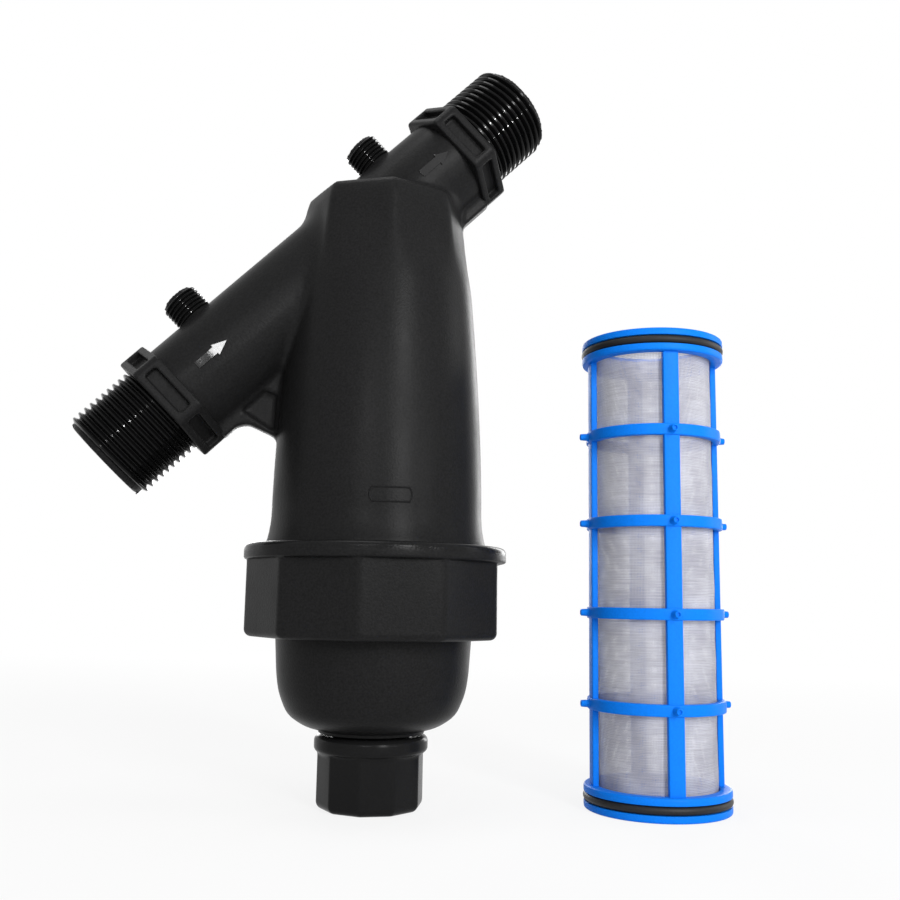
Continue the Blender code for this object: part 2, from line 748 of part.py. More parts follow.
def drain_cap():
    """A bead over ten flats, closed below, with a bore for the bowl's neck."""
    bead_r = cap_r + CAP_BEAD_PROUD
    bead_low = CAP_HEIGHT - CAP_BEAD_HEIGHT
    levels = [(z, r, True) for r, z in arc(cap_r - CAP_ROUND, CAP_ROUND, CAP_ROUND, -90, 0, 5)]
    levels.append((bead_low - CAP_BEAD_GROOVE, cap_r, True))
    for r, z in arc(bead_r - CAP_BEAD_ROUND, bead_low + CAP_BEAD_ROUND, CAP_BEAD_ROUND, -90, 0, 4):
        levels.append((z, r, False))
    for r, z in arc(bead_r - CAP_BEAD_ROUND, CAP_HEIGHT - CAP_BEAD_ROUND, CAP_BEAD_ROUND, 0, 90, 4):
        levels.append((z, r, False))
    cap = faceted_solid("drain_cap", levels, CAP_SIDES, CAP_TURN, per_side=4)
    bore = [
        (cap_bore_r, CAP_FLOOR),
        (cap_bore_r, CAP_HEIGHT - CAP_CHAMFER),
        (cap_bore_r + CAP_CHAMFER, CAP_HEIGHT),
        (cap_bore_r + CAP_CHAMFER, CAP_HEIGHT + CUT_OVER),
    ]
    return cut(cap, turned("cut_cap_bore", bore, hollow=False))


def drain_gasket():
    """A flat washer on the cap's floor, under the end of the neck."""
    low = CAP_FLOOR + GAP
    high = low + GASKET_THICK
    outline = [(GASKET_HOLE_R, low), (neck_r, low), (neck_r, high), (GASKET_HOLE_R, high)]
    return turned("drain_gasket", outline, hollow=True)


def end_flange(name, low):
    """An end of the screen frame, with a groove round it for its O-ring."""
    high = low + END_HEIGHT
    middle = (low + high) / 2
    half = SEAL_R + GAP
    floor = end_r + SEAL_PROUD - 2 * SEAL_R - GAP
    outline = [
        (FRAME_BORE_R, low),
        (end_r - END_CHAMFER, low),
        (end_r, low + END_CHAMFER),
        (end_r, middle - half),
        (floor, middle - half),
        (floor, middle + half),
        (end_r, middle + half),
        (end_r, high - END_CHAMFER),
        (end_r - END_CHAMFER, high),
        (FRAME_BORE_R, high),
    ]
    return turned(name, outline, hollow=True, frame=cartridge_frame)


def ring_heights():
    """The rings stand at equal steps between the middles of the two flanges."""
    low = END_HEIGHT / 2
    pitch = (CARTRIDGE_LENGTH - END_HEIGHT) / (RING_COUNT + 1)
    return [low + pitch * (k + 1) for k in range(RING_COUNT)]


def frame_rings():
    bm = bmesh.new()
    for z in ring_heights():
        half = RING_HEIGHT / 2
        low, high = z - half, z + half
        outline = [(FRAME_BORE_R, low), (ring_r, low), (ring_r, high), (FRAME_BORE_R, high)]
        add_turned(bm, outline, hollow=True)
    return to_object("guide_rings", bm, cartridge_frame)


def bar_turns():
    return [Matrix.Rotation(2 * math.pi * k / BAR_COUNT, 4, "Z") for k in range(BAR_COUNT)]


def frame_bars():
    """Four upright bars from flange to flange, square in section."""
    overlap = END_HEIGHT / 4
    inner = FRAME_BORE_R + SEAL_PROUD / 4
    outline = rectangle(bar_r - inner, BAR_WIDTH, (bar_r + inner) / 2, 0.0)
    bm = bmesh.new()
    for turn in bar_turns():
        add_prism(bm, outline, END_HEIGHT - overlap, CARTRIDGE_LENGTH - END_HEIGHT + overlap, turn)
    return to_object("guide_bars", bm, cartridge_frame)


def frame_pegs():
    """A small tapered peg on the ring at each bar."""
    bm = bmesh.new()
    root = (FRAME_BORE_R + ring_r) / 2
    for turn in bar_turns():
        for z in ring_heights():
            place = turn @ Matrix.Translation((0, 0, z)) @ Matrix.Rotation(math.pi / 2, 4, "Y")
            loops = []
            shoulder = peg_tip_r - PEG_CHAMFER
            for s, r in ((root, PEG_BASE), (shoulder, PEG_TIP), (peg_tip_r, PEG_TIP - PEG_CHAMFER)):
                points = [Vector((r * math.cos(a), r * math.sin(a), s)) for a in angles(PEG_SIDES)]
                loops.append([bm.verts.new(place @ p) for p in points])
            bridge(bm, loops, closed_tube=False)
    return to_object("guide_pegs", bm, cartridge_frame)


def screen_frame():
    frame = end_flange("screen_frame", 0.0)
    joined(frame, end_flange("guide_upper_flange", CARTRIDGE_LENGTH - END_HEIGHT))
    joined(frame, frame_bars())
    joined(frame, frame_rings())
    joined(frame, frame_pegs())
    return frame


def screen_mesh():
    """The sleeve of fine cloth, as a thin wall just inside the frame."""
    outer = FRAME_BORE_R - GAP
    low, high = SCREEN_END_INSET, CARTRIDGE_LENGTH - SCREEN_END_INSET
    outline = [(outer - SCREEN_WALL, low), (outer, low), (outer, high), (outer - SCREEN_WALL, high)]
    return turned("screen_mesh", outline, hollow=True, frame=cartridge_frame)


def screen_oring(name, low):
    centre = end_r + SEAL_PROUD - SEAL_R
    middle = low + END_HEIGHT / 2
    outline = [(centre + SEAL_R * math.cos(a), middle + SEAL_R * math.sin(a)) for a in angles(SEAL_STEPS)]
    return turned(name, outline, hollow=True, frame=cartridge_frame)


def main():
    for old in list(bpy.data.objects):
        bpy.data.objects.remove(old)
    plastic = material("black plastic", BLACK, 0.42)
    rubber = material("black rubber", RUBBER, 0.62)
    blue = material("blue plastic", BLUE, 0.36)
    cloth = material("screen cloth", MESH_GREY, 0.55)
    housing_body().data.materials.append(plastic)
    clamp_nut().data.materials.append(plastic)
    sediment_bowl().data.materials.append(plastic)
    drain_cap().data.materials.append(plastic)
    bowl_oring().data.materials.append(rubber)
    drain_gasket().data.materials.append(rubber)
    screen_frame().data.materials.append(blue)
    screen_mesh().data.materials.append(cloth)
    screen_oring("lower_screen_oring", 0.0).data.materials.append(rubber)
    screen_oring("upper_screen_oring", CARTRIDGE_LENGTH - END_HEIGHT).data.materials.append(rubber)


main()
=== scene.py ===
"""The looks of the screen filter: skins, threads, sleeve, materials, light and camera.

Sizes are in millimetres and are scaled to metres as each mesh is made. Lights and the floor are in metres.
The larger moulded forms are distance fields, in which a join can be filleted. Each field becomes one mesh.
"""

import math

import bmesh
import bpy
import numpy as np
import openvdb
from mathutils import Matrix, Vector

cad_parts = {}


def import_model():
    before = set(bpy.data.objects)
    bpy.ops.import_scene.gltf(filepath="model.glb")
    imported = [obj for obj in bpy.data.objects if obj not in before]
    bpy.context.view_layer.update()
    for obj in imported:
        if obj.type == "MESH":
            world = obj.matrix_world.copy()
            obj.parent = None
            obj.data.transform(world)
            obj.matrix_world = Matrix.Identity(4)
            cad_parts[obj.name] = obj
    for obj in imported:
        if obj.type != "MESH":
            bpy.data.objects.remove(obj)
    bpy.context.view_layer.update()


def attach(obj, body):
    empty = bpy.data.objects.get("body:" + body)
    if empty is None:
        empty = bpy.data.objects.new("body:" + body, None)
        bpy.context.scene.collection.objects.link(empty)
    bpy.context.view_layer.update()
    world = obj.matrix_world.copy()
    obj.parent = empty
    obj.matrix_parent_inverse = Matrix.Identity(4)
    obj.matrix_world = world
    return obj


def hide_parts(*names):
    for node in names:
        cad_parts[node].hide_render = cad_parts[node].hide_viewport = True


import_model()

MM = 0.001

# Fineness of the meshes
TURN_STEPS = 144
HELIX_STEPS = 72
NIPPLE_STEPS = 48
NUT_STEPS = 320
CAP_STEPS = 240
SMALL_STEPS = 20
SLEEVE_STEPS_AROUND = 180
SLEEVE_STEPS_UP = 220
HOUSING_VOXEL = 1.0
HOUSING_LOW = (-103.0, -40.0, 62.0)
HOUSING_HIGH = (60.0, 40.0, 258.0)
COLLAR_VOXEL = 0.42
COLLAR_REACH = 22.0
COLLAR_MARGIN = 1.5
THREAD_SUNK = 0.35

# Run: the threaded pipe that crosses the top of the body at 45 degrees
RUN_ANGLE = 45.0
RUN_Z = 198.4
RUN_R = 16.62
RUN_BORE_R = 12.0
INLET_BORE_END_S = -18.0
OUTLET_BORE_START_S = -2.0
INLET_COLLAR_S = -91.8
OUTLET_COLLAR_S = 30.3
COLLAR_LENGTH = 9.7
COLLAR_LAP = 1.2
COLLAR_FLATS = 36.0
COLLAR_EDGE = 0.7
COLLAR_CORNER = 1.2
COLLAR_INSIDE = 1.6
POCKET_WIDTH = 16.0
POCKET_LENGTH = 4.4
POCKET_DEPTH = 2.4
POCKET_CORNER = 0.8
POCKET_FLOOR_ROUND = 0.4
POCKET_LIP_ROUND = 0.35
THREAD_LENGTH = 24.4
PIPE_CREST_R = 16.6
PIPE_ROOT_R = 15.1
PIPE_PITCH = 2.309
PIPE_PHASE = 1.03
OUTLET_RIDGE_S = 37.18

# Test nipples
NIPPLE_CREST_R = 6.58
NIPPLE_ROOT_R = 5.75
NIPPLE_PITCH = 1.337
NIPPLE_HEIGHT = 25.4
NIPPLE_HOLE_R = 3.1
NIPPLE_HOLE_DEPTH = 8.0
INLET_NIPPLE_S = -72.4
OUTLET_NIPPLE_S = 10.9

# Webs under the run
WEB_THICK = 6.4
WEB_RECESS = 1.9
WEB_RIM = 2.6
WEB_LAP = 2.0
WEB_EDGE = 0.7
WEB_RECESS_EDGE = 0.4
INLET_WEB_FOOT_Z = 117.9
INLET_WEB_STRIP = 3.8
INLET_WEB_TOE_X = -37.0
INLET_WEB_TOE_RISE = 2.2
INLET_ARCH_S = -87.6
INLET_ARCH_LEFT_X = -45.0
INLET_ARCH_RIGHT_X = -43.2
INLET_ARCH_Z = 122.8
INLET_RECESS_START_S = -82.6
INLET_RECESS_END_S = -72.6
OUTLET_WEB_DEPTH = 20.6
OUTLET_WEB_ROOT_S = 14.0

# Body: a cone with a flared foot and an octagonal crown
BODY_FOOT_Z = 83.8
BODY_WAIST_Z = 96.4
BODY_SHOULDER_Z = 198.3
BODY_WAIST_R = 34.9
BODY_TAPER = 7.2
BODY_TAPER_POWER = 1.6
FOOT_FLARE = 1.6
FOOT_FLARE_POWER = 2.5
BODY_WALL = 2.6
CROWN_Z = 203.5
CROWN_WALL = 4.0
CROWN_SIDES = 8
CROWN_EDGE = 2.0
CROWN_TAPER = 0.26
CROWN_CREASE = 1.0
FACET_START_Z = 168.0
FACET_FULL_Z = 194.0
FACET_SHARPNESS = 0.94
JOIN_FILLET = 2.8
WEB_FILLET = 1.6
NIPPLE_FILLET = 1.0

# Male thread at the foot, and the inside of the housing
MALE_CREST_R = 37.6
MALE_ROOT_R = 36.3
MALE_PITCH = 5.0
MALE_PHASE = 2.34
MALE_BOTTOM_Z = 64.6
MALE_TOP_Z = 82.0
MALE_BORE_R = 33.2
SEAT_R = 24.4
SEAT_LENGTH = 10.0
SEAT_LEAD = 4.0
STOP_Z = 186.3
STOP_LEDGE = 2.8
INLET_DAM_X = -31.0
BORE_EDGE = 0.6
END_EDGE_ROUND = 0.8

# Clamp nut
NUT_BOTTOM_Z = 54.0
NUT_RIM_Z = 78.6
NUT_TOP_Z = 83.5
NUT_RIM_R = 43.28
NUT_CORNER_R = 42.5
NUT_SIDES = 10
NUT_TURN = 6.5
NUT_ROUND = 2.4
NUT_CREASE = 3.2
NUT_RIM_ROUND = 1.7
NUT_BORE_R = 37.9
NUT_LIP = 5.5
NUT_LIP_R = 33.3

# Sediment bowl and its neck
BOWL_FLANGE_R = 37.3
BOWL_FLANGE_LOW_Z = 59.8
BOWL_FLANGE_HIGH_Z = 64.3
BOWL_R = 32.5
BOWL_WALL = 2.6
BOWL_SIDE_LOW_Z = 42.0
BOWL_SIDE_LOW_R = 31.3
BOWL_SEAT_FLOOR_Z = 30.0
BOWL_SEAT_HIGH_Z = 38.4
BOWL_SEAT_LEAD = 3.4
BOWL_ROUND_Z = 29.4
BOWL_ROUND_R = 27.5
BOWL_HIP_Z = 25.9
BOWL_HIP_R = 22.0
NECK_COLLAR_R = 17.2
NECK_COLLAR_Z = 23.7
NECK_CREST_R = 13.2
NECK_ROOT_R = 12.3
NECK_PITCH = 1.814
NECK_BORE_R = 9.6
NECK_BOTTOM_Z = 6.6
FUNNEL_Z = 24.6
ORING_GROOVE_R = 34.9
ORING_GROOVE_WIDTH = 2.4
ORING_GROOVE_DEPTH = 1.7

# Drain cap
CAP_R = 17.3
CAP_SIDES = 10
CAP_TURN = 2.5
CAP_ROUND = 2.6
CAP_CREASE = 1.6
CAP_FACETS_TOP_Z = 17.1
CAP_BEAD_BOTTOM_Z = 17.6
CAP_BEAD_TOP_Z = 23.1
CAP_BEAD_R = 18.4
CAP_BEAD_ROUND = 1.9
CAP_FLOOR = 4.3
CAP_BORE_R = 13.5
GASKET_HOLE_R = 9.8

# Screen cartridge, in its own frame
CARTRIDGE_X = 93.7
CARTRIDGE_Y = -9.0
CARTRIDGE_TURN = -4.0
CARTRIDGE_LENGTH = 156.0
END_R = 24.0
END_HEIGHT = 7.6
END_EDGE = 0.5
FRAME_BORE_R = 20.0
BAR_COUNT = 4
BAR_WIDTH = 5.2
BAR_R = 22.1
RING_COUNT = 4
RING_R = 22.7
RING_HEIGHT = 3.7
PEG_TIP_R = 25.4
PEG_BASE = 1.25
PEG_TIP = 1.1
SCREEN_R = 19.55
SCREEN_END_INSET = 1.2
SEAL_R = 1.35
SEAL_PROUD = 0.2

SLEEVE_WAVE = 0.10
WEAVE_THREADS = (("X", 250), ("Y", 310))

# Relief marks: where each arrow starts and ends along the run, and the bare plate
INLET_ARROW = (-84.7, -72.0)
OUTLET_ARROW = (14.7, 27.5)
ARROW_SHAFT = 1.3
ARROW_HEAD = 2.2
ARROW_RISE = 0.35
ARROW_SUNK = 0.8
PLATE_LEFT = -4.9
PLATE_RIGHT = 6.8
PLATE_LOW_Z = 95.7
PLATE_HIGH_Z = 100.1
PLATE_BOW = 0.7
PLATE_SIDE_STEPS = 24
PLATE_END_STEPS = 10
PLATE_RIDGE = ((-0.36, -0.2), (-0.26, 0.20), (0.0, 0.32), (0.26, 0.20), (0.36, -0.2))

# Light: places and sizes in metres
WHITE = (1.0, 1.0, 1.0, 1.0)
WORLD_LIGHT = 0.28
FLOOR_SIZE = 12.0
FLOOR_GLOW = 0.85
FLOOR_FADE_START = 0.25
FLOOR_FADE_END = 0.9
FLOOR_GREY = (0.82, 0.82, 0.82, 1.0)
MIDDLE = (0.0, 0.0, 0.12)
INLET_SHANK = (-0.08, 0.0, 0.118)
OUTLET_SHANK = (0.037, 0.0, 0.235)
SPARK_SIZE = 0.014
SPARK_WATTS = 0.4

# Camera: where it stands, in millimetres, how it is turned, in degrees, and its focal length in image widths
CAMERA_PLACE = Vector((-29.08, -335.24, 66.42))
CAMERA_YAW = 9.056
CAMERA_PITCH = 8.533
CAMERA_ROLL = -0.965
CAMERA_FOCAL = 1001.1 / 900
SENSOR_WIDTH = 36.0

run_frame = Matrix.Translation((0, 0, RUN_Z)) @ Matrix.Rotation(math.radians(90 - RUN_ANGLE), 4, "Y")
cartridge_frame = Matrix.Translation((CARTRIDGE_X, CARTRIDGE_Y, 0)) @ Matrix.Rotation(
    math.radians(CARTRIDGE_TURN), 4, "Z"
)
run_low = INLET_COLLAR_S - COLLAR_LENGTH - THREAD_LENGTH
run_high = OUTLET_COLLAR_S + COLLAR_LENGTH + THREAD_LENGTH


# Meshes

def finish_mesh(name, bm, transform=None, sharp=40.0):
    """Turns a bmesh in millimetres into an object in metres, smooth but for its sharp edges."""
    if transform is not None:
        bm.transform(transform)
    bm.transform(Matrix.Scale(MM, 4))
    bmesh.ops.recalc_face_normals(bm, faces=bm.faces)
    mesh = bpy.data.meshes.new(name)
    bm.to_mesh(mesh)
    bm.free()
    mesh.shade_smooth()
    mesh.set_sharp_from_angle(angle=math.radians(sharp))
    made = bpy.data.objects.new(name, mesh)
    bpy.context.scene.collection.objects.link(made)
    return made


def bridge(bm, loops, closed_tube):
    pairs = list(zip(loops, loops[1:]))
    if closed_tube:
        pairs.append((loops[-1], loops[0]))
    count = len(loops[0])
    for low, high in pairs:
        for k in range(count):
            n = (k + 1) % count
            bm.faces.new((low[k], low[n], high[n], high[k]))
    if not closed_tube:
        bm.faces.new(loops[0])
        bm.faces.new(loops[-1])


def angles(steps):
    return [2 * math.pi * k / steps for k in range(steps)]


def round_levels(share, centre_r, centre_z, radius, start, end, points=8):
    """Levels of a faceted form along a round corner, between two angles in degrees."""
    found = []
    for k in range(points):
        a = math.radians(start + (end - start) * k / (points - 1))
        found.append((centre_z + radius * math.sin(a), centre_r + radius * math.cos(a), share))
    return found


def rounded_profile(corners, points=5):
    """A closed outline of (radius, height, rounding) corners, with each corner rounded off."""
    found = []
    count = len(corners)
    for k, (r, z, rounding) in enumerate(corners):
        here = Vector((r, z))
        before = Vector(corners[k - 1][:2]) - here
        after = Vector(corners[(k + 1) % count][:2]) - here
        if rounding <= 0:
            found.append((r, z))
            continue
        reach = min(rounding, before.length * 0.45, after.length * 0.45)
        start = here + before.normalized() * reach
        end = here + after.normalized() * reach
        for i in range(points):
            t = i / (points - 1)
            p = start.lerp(here, t).lerp(here.lerp(end, t), t)
            found.append((p.x, p.y))
    return found


def add_turned(bm, outline, steps=TURN_STEPS):
    loops = []
    for r, z in outline:
        loops.append([bm.verts.new((r * math.cos(a), r * math.sin(a), z)) for a in angles(steps)])
    bridge(bm, loops, closed_tube=True)


def turned(name, outline, steps=TURN_STEPS, transform=None):
    bm = bmesh.new()
    add_turned(bm, outline, steps)
    return finish_mesh(name, bm, transform)


def creased_radius(angle, corner_r, sides, turn, crease):
    """Distance from the axis to a polygon whose corners are rounded, at an angle."""
    step = 2 * math.pi / sides
    off = abs((angle - math.radians(turn)) % step - step / 2)
    flat = corner_r * math.cos(step / 2)
    near = flat / math.cos(off)
    centre = (flat - crease) / math.cos(step / 2)
    to_corner = step / 2 - off
    across = centre * math.sin(to_corner)
    if across > crease * math.sin(step / 2):
        return near
    return centre * math.cos(to_corner) + math.sqrt(max(0.0, crease**2 - across**2))


def faceted(name, levels, sides, turn, crease, steps):
    """A closed form from levels of (height, radius, share of facets), going up outside and down inside."""
    bm = bmesh.new()
    loops = []
    for z, r, share in levels:
        ring = []
        for k in range(steps):
            a = math.radians(turn) + 2 * math.pi * k / steps
            d = r + share * (creased_radius(a, r, sides, turn, crease) - r)
            ring.append(bm.verts.new((d * math.cos(a), d * math.sin(a), z)))
        loops.append(ring)
    bridge(bm, loops, closed_tube=True)
    return finish_mesh(name, bm)


def helix(name, root_r, crest_r, pitch, low, high, transform=None, fade=0.6, steps=HELIX_STEPS, flat=0.12):
    """A right-handed outer thread from one height to another, which fades out over a share of a turn."""
    turns = (high - low) / pitch
    count = int(turns * steps)
    sunk = root_r - THREAD_SUNK
    base = pitch * 0.5
    bm = bmesh.new()
    loops = []
    for k in range(count + 1):
        a = 2 * math.pi * k / steps
        z = low + pitch * k / steps
        rise = min(1.0, k / (steps * fade), (count - k) / (steps * fade))
        top = root_r + (crest_r - root_r) * rise
        soft = top + (root_r - top) * 0.07
        section = [
            (sunk, -base),
            (root_r, -base * 0.90),
            (soft, -pitch * (flat + 0.03)),
            (top, -pitch * flat * 0.9),
            (top, pitch * flat * 0.9),
            (soft, pitch * (flat + 0.03)),
            (root_r, base * 0.90),
            (sunk, base),
        ]
        loops.append([bm.verts.new((r * math.cos(a), r * math.sin(a), z + h)) for r, h in section])
    bridge(bm, loops, closed_tube=False)
    return finish_mesh(name, bm, transform, sharp=20.0)


# Distance fields: negative inside, in millimetres

def round_union(a, b, radius):
    """Joins two fields, with a fillet of this radius where they meet."""
    inner = np.hypot(np.maximum(radius - a, 0), np.maximum(radius - b, 0))
    return np.maximum(radius, np.minimum(a, b)) - inner


def round_meet(a, b, radius):
    """What lies in both fields, with its outer edges rounded to this radius."""
    outer = np.hypot(np.maximum(radius + a, 0), np.maximum(radius + b, 0))
    return np.minimum(-radius, np.maximum(a, b)) + outer


def polygon_field(x, z, points):
    """Signed distance to a closed outline in a plane."""
    nearest = np.full(np.broadcast(x, z).shape, np.inf)
    inside = np.zeros(nearest.shape, bool)
    for (ax, az), (bx, bz) in zip(points, points[1:] + points[:1]):
        ex, ez = bx - ax, bz - az
        t = np.clip(((x - ax) * ex + (z - az) * ez) / (ex * ex + ez * ez), 0, 1)
        nearest = np.minimum(nearest, np.hypot(x - ax - t * ex, z - az - t * ez))
        if ez:
            crosses = ((az > z) != (bz > z)) & (x < ex * (z - az) / ez + ax)
            inside ^= crosses
    return np.where(inside, -nearest, nearest)


def field_axes(low, high, voxel):
    """Coordinates of the cells along each axis, shaped so that they broadcast into one grid."""
    x, y, z = (np.arange(a, b + voxel, voxel, dtype=np.float32) for a, b in zip(low, high))
    return x[:, None, None], y[None, :, None], z[None, None, :]


def field_object(name, field, low, voxel, transform=None):
    """The surface of a field as an object in metres."""
    grid = openvdb.FloatGrid(3 * voxel)
    grid.copyFromArray(np.ascontiguousarray(field, dtype=np.float32))
    grid.transform = openvdb.createLinearTransform(voxelSize=voxel)
    points, triangles, quads = grid.convertToPolygons(0.0, 0.0)
    points = points + np.array(low, dtype=np.float32)
    mesh = bpy.data.meshes.new(name)
    mesh.from_pydata(points.tolist(), [], quads[:, ::-1].tolist() + triangles[:, ::-1].tolist())
    mesh.transform(Matrix.Scale(MM, 4) @ (transform or Matrix()))
    mesh.update()
    mesh.shade_smooth()
    made = bpy.data.objects.new(name, mesh)
    bpy.context.scene.collection.objects.link(made)
    return made


# Housing

def smooth_step(value, start, end):
    t = np.clip((value - start) / (end - start), 0, 1)
    return t * t * (3 - 2 * t)


def body_radius(z):
    up = np.maximum(0.0, (z - BODY_WAIST_Z) / (BODY_SHOULDER_Z - BODY_WAIST_Z))
    down = np.clip((BODY_WAIST_Z - z) / (BODY_WAIST_Z - BODY_FOOT_Z), 0, 1)
    cone = BODY_WAIST_R - BODY_TAPER * np.minimum(up, 1.0) ** BODY_TAPER_POWER
    cone = cone + FOOT_FLARE * down**FOOT_FLARE_POWER
    return cone - CROWN_TAPER * np.maximum(0.0, z - BODY_SHOULDER_Z)


def body_field(x, y, z):
    """The cone, its octagonal crown with soft creases, and the root of the male thread below."""
    rho = np.hypot(x, y)
    radius = np.where(z < MALE_TOP_Z, MALE_ROOT_R, body_radius(z))
    step = 2 * math.pi / CROWN_SIDES
    off = np.arctan2(y, x) % step - step / 2
    flat = radius * math.cos(step / 2)
    octagon = round_meet(rho * np.cos(off) - flat, rho * np.cos(step - np.abs(off)) - flat, CROWN_CREASE)
    share = FACET_SHARPNESS * smooth_step(z, FACET_START_Z, FACET_FULL_Z)
    side = rho - radius
    side = side + share * (octagon - side)
    closed = round_meet(side, z - CROWN_Z, CROWN_EDGE)
    return round_meet(closed, MALE_BOTTOM_Z - z, END_EDGE_ROUND)


def on_run(s, n):
    """The (x, z) place of a point s along the run and n above it."""
    a = math.radians(RUN_ANGLE)
    return s * math.cos(a) - n * math.sin(a), RUN_Z + s * math.sin(a) + n * math.cos(a)


def run_field(s, across):
    low_root = INLET_COLLAR_S - COLLAR_LAP
    high_root = OUTLET_COLLAR_S + COLLAR_LAP
    radius = np.where((s < low_root) | (s > high_root), PIPE_ROOT_R, RUN_R)
    ends = np.maximum(run_low - s, s - run_high)
    return round_meet(across - radius, ends, END_EDGE_ROUND)


def nipple_field(s, n, y, place):
    across = np.hypot(s - place, y)
    post = np.maximum(round_meet(across - NIPPLE_ROOT_R, n - NIPPLE_HEIGHT, 0.5), -n)
    hole = np.maximum(across - NIPPLE_HOLE_R, NIPPLE_HEIGHT - NIPPLE_HOLE_DEPTH - n)
    return post, hole


def inlet_web_outline():
    """A strip under the run, from the collar on, that arches over to the body."""
    inside_x = -float(body_radius(INLET_WEB_FOOT_Z)) + BODY_WALL * 0.8
    low = -RUN_R - INLET_WEB_STRIP
    high = -RUN_R + WEB_LAP
    start = INLET_COLLAR_S - 1.5
    inner = on_run(INLET_RECESS_END_S + 4.0, high)
    return [
        on_run(start, high),
        on_run(start, low),
        on_run(INLET_ARCH_S, low),
        (INLET_ARCH_LEFT_X, INLET_ARCH_Z),
        (INLET_ARCH_RIGHT_X, INLET_ARCH_Z),
        (INLET_WEB_TOE_X, INLET_WEB_FOOT_Z + INLET_WEB_TOE_RISE),
        (inside_x, INLET_WEB_FOOT_Z),
        (inside_x, inner[1]),
        inner,
    ]


def inlet_web_recess():
    """The sunk triangle in each face of the inlet web."""
    face_x = -float(body_radius(INLET_WEB_FOOT_Z)) - 0.6
    edge = -RUN_R - 1.0
    top = on_run(INLET_RECESS_END_S, edge)
    foot = (face_x, INLET_WEB_FOOT_Z + WEB_RIM)
    return [on_run(INLET_RECESS_START_S, edge), top, (face_x, top[1] - 1.5), foot]


def outlet_web_outline():
    start = OUTLET_COLLAR_S + 1.0
    return [
        on_run(start, -OUTLET_WEB_DEPTH),
        on_run(start, -RUN_R + WEB_LAP),
        on_run(OUTLET_WEB_ROOT_S, -RUN_R + WEB_LAP),
        on_run(OUTLET_WEB_ROOT_S, -OUTLET_WEB_DEPTH),
    ]


def chamber_field(rho, z):
    """The inside of the housing, up to the space above the stop ledge."""
    lead_low = STOP_Z - SEAT_LENGTH - SEAT_LEAD
    seat_low = STOP_Z - SEAT_LENGTH
    wall = np.minimum(MALE_BORE_R, body_radius(z) - BODY_WALL)
    lead_r = float(min(MALE_BORE_R, body_radius(lead_low) - BODY_WALL))
    lead = np.interp(z, [lead_low, seat_low], [lead_r, SEAT_R])
    ledge_r = SEAT_R - STOP_LEDGE
    top = CROWN_Z - CROWN_WALL
    over = np.interp(z, [top - 2.0, top], [ledge_r, ledge_r - 2.0])
    radius = np.where(z < lead_low, wall, np.where(z < seat_low, lead, np.where(z < STOP_Z, SEAT_R, over)))
    return np.maximum(rho - radius, z - top)


def housing_field(x, y, z):
    turn = math.radians(RUN_ANGLE)
    s = x * math.cos(turn) + (z - RUN_Z) * math.sin(turn)
    n = -x * math.sin(turn) + (z - RUN_Z) * math.cos(turn)
    across = np.hypot(n, y)
    solid = round_union(body_field(x, y, z), run_field(s, across), JOIN_FILLET)

    flat_x, flat_z = x[:, 0, :], z[0, :, :]
    thick = np.abs(y) - WEB_THICK / 2
    recess = polygon_field(flat_x, flat_z, inlet_web_recess())[:, None, :]
    sunk = np.maximum(recess, WEB_THICK / 2 - WEB_RECESS - np.abs(y))
    for outline in (inlet_web_outline(), outlet_web_outline()):
        plate = round_meet(polygon_field(flat_x, flat_z, outline)[:, None, :], thick, WEB_EDGE)
        solid = round_union(solid, round_meet(plate, -sunk, WEB_RECESS_EDGE), WEB_FILLET)

    for place in (INLET_NIPPLE_S, OUTLET_NIPPLE_S):
        post, hole = nipple_field(s, n, y, place)
        solid = np.maximum(round_union(solid, post, NIPPLE_FILLET), -hole)

    chamber = chamber_field(np.hypot(x, y), z)
    inlet = np.maximum(across - RUN_BORE_R, s - INLET_BORE_END_S)
    dam = np.maximum(INLET_DAM_X - x, STOP_Z - SEAT_LENGTH - SEAT_LEAD - 1.0 - z)
    inlet = np.maximum(inlet, -dam)
    outlet = np.maximum(across - RUN_BORE_R, OUTLET_BORE_START_S - s)
    hollow = np.minimum(chamber, np.minimum(inlet, outlet))
    return round_meet(solid, -hollow, BORE_EDGE)


def housing_shell():
    field = housing_field(*field_axes(HOUSING_LOW, HOUSING_HIGH, HOUSING_VOXEL))
    return field_object("housing_shell", field, HOUSING_LOW, HOUSING_VOXEL)


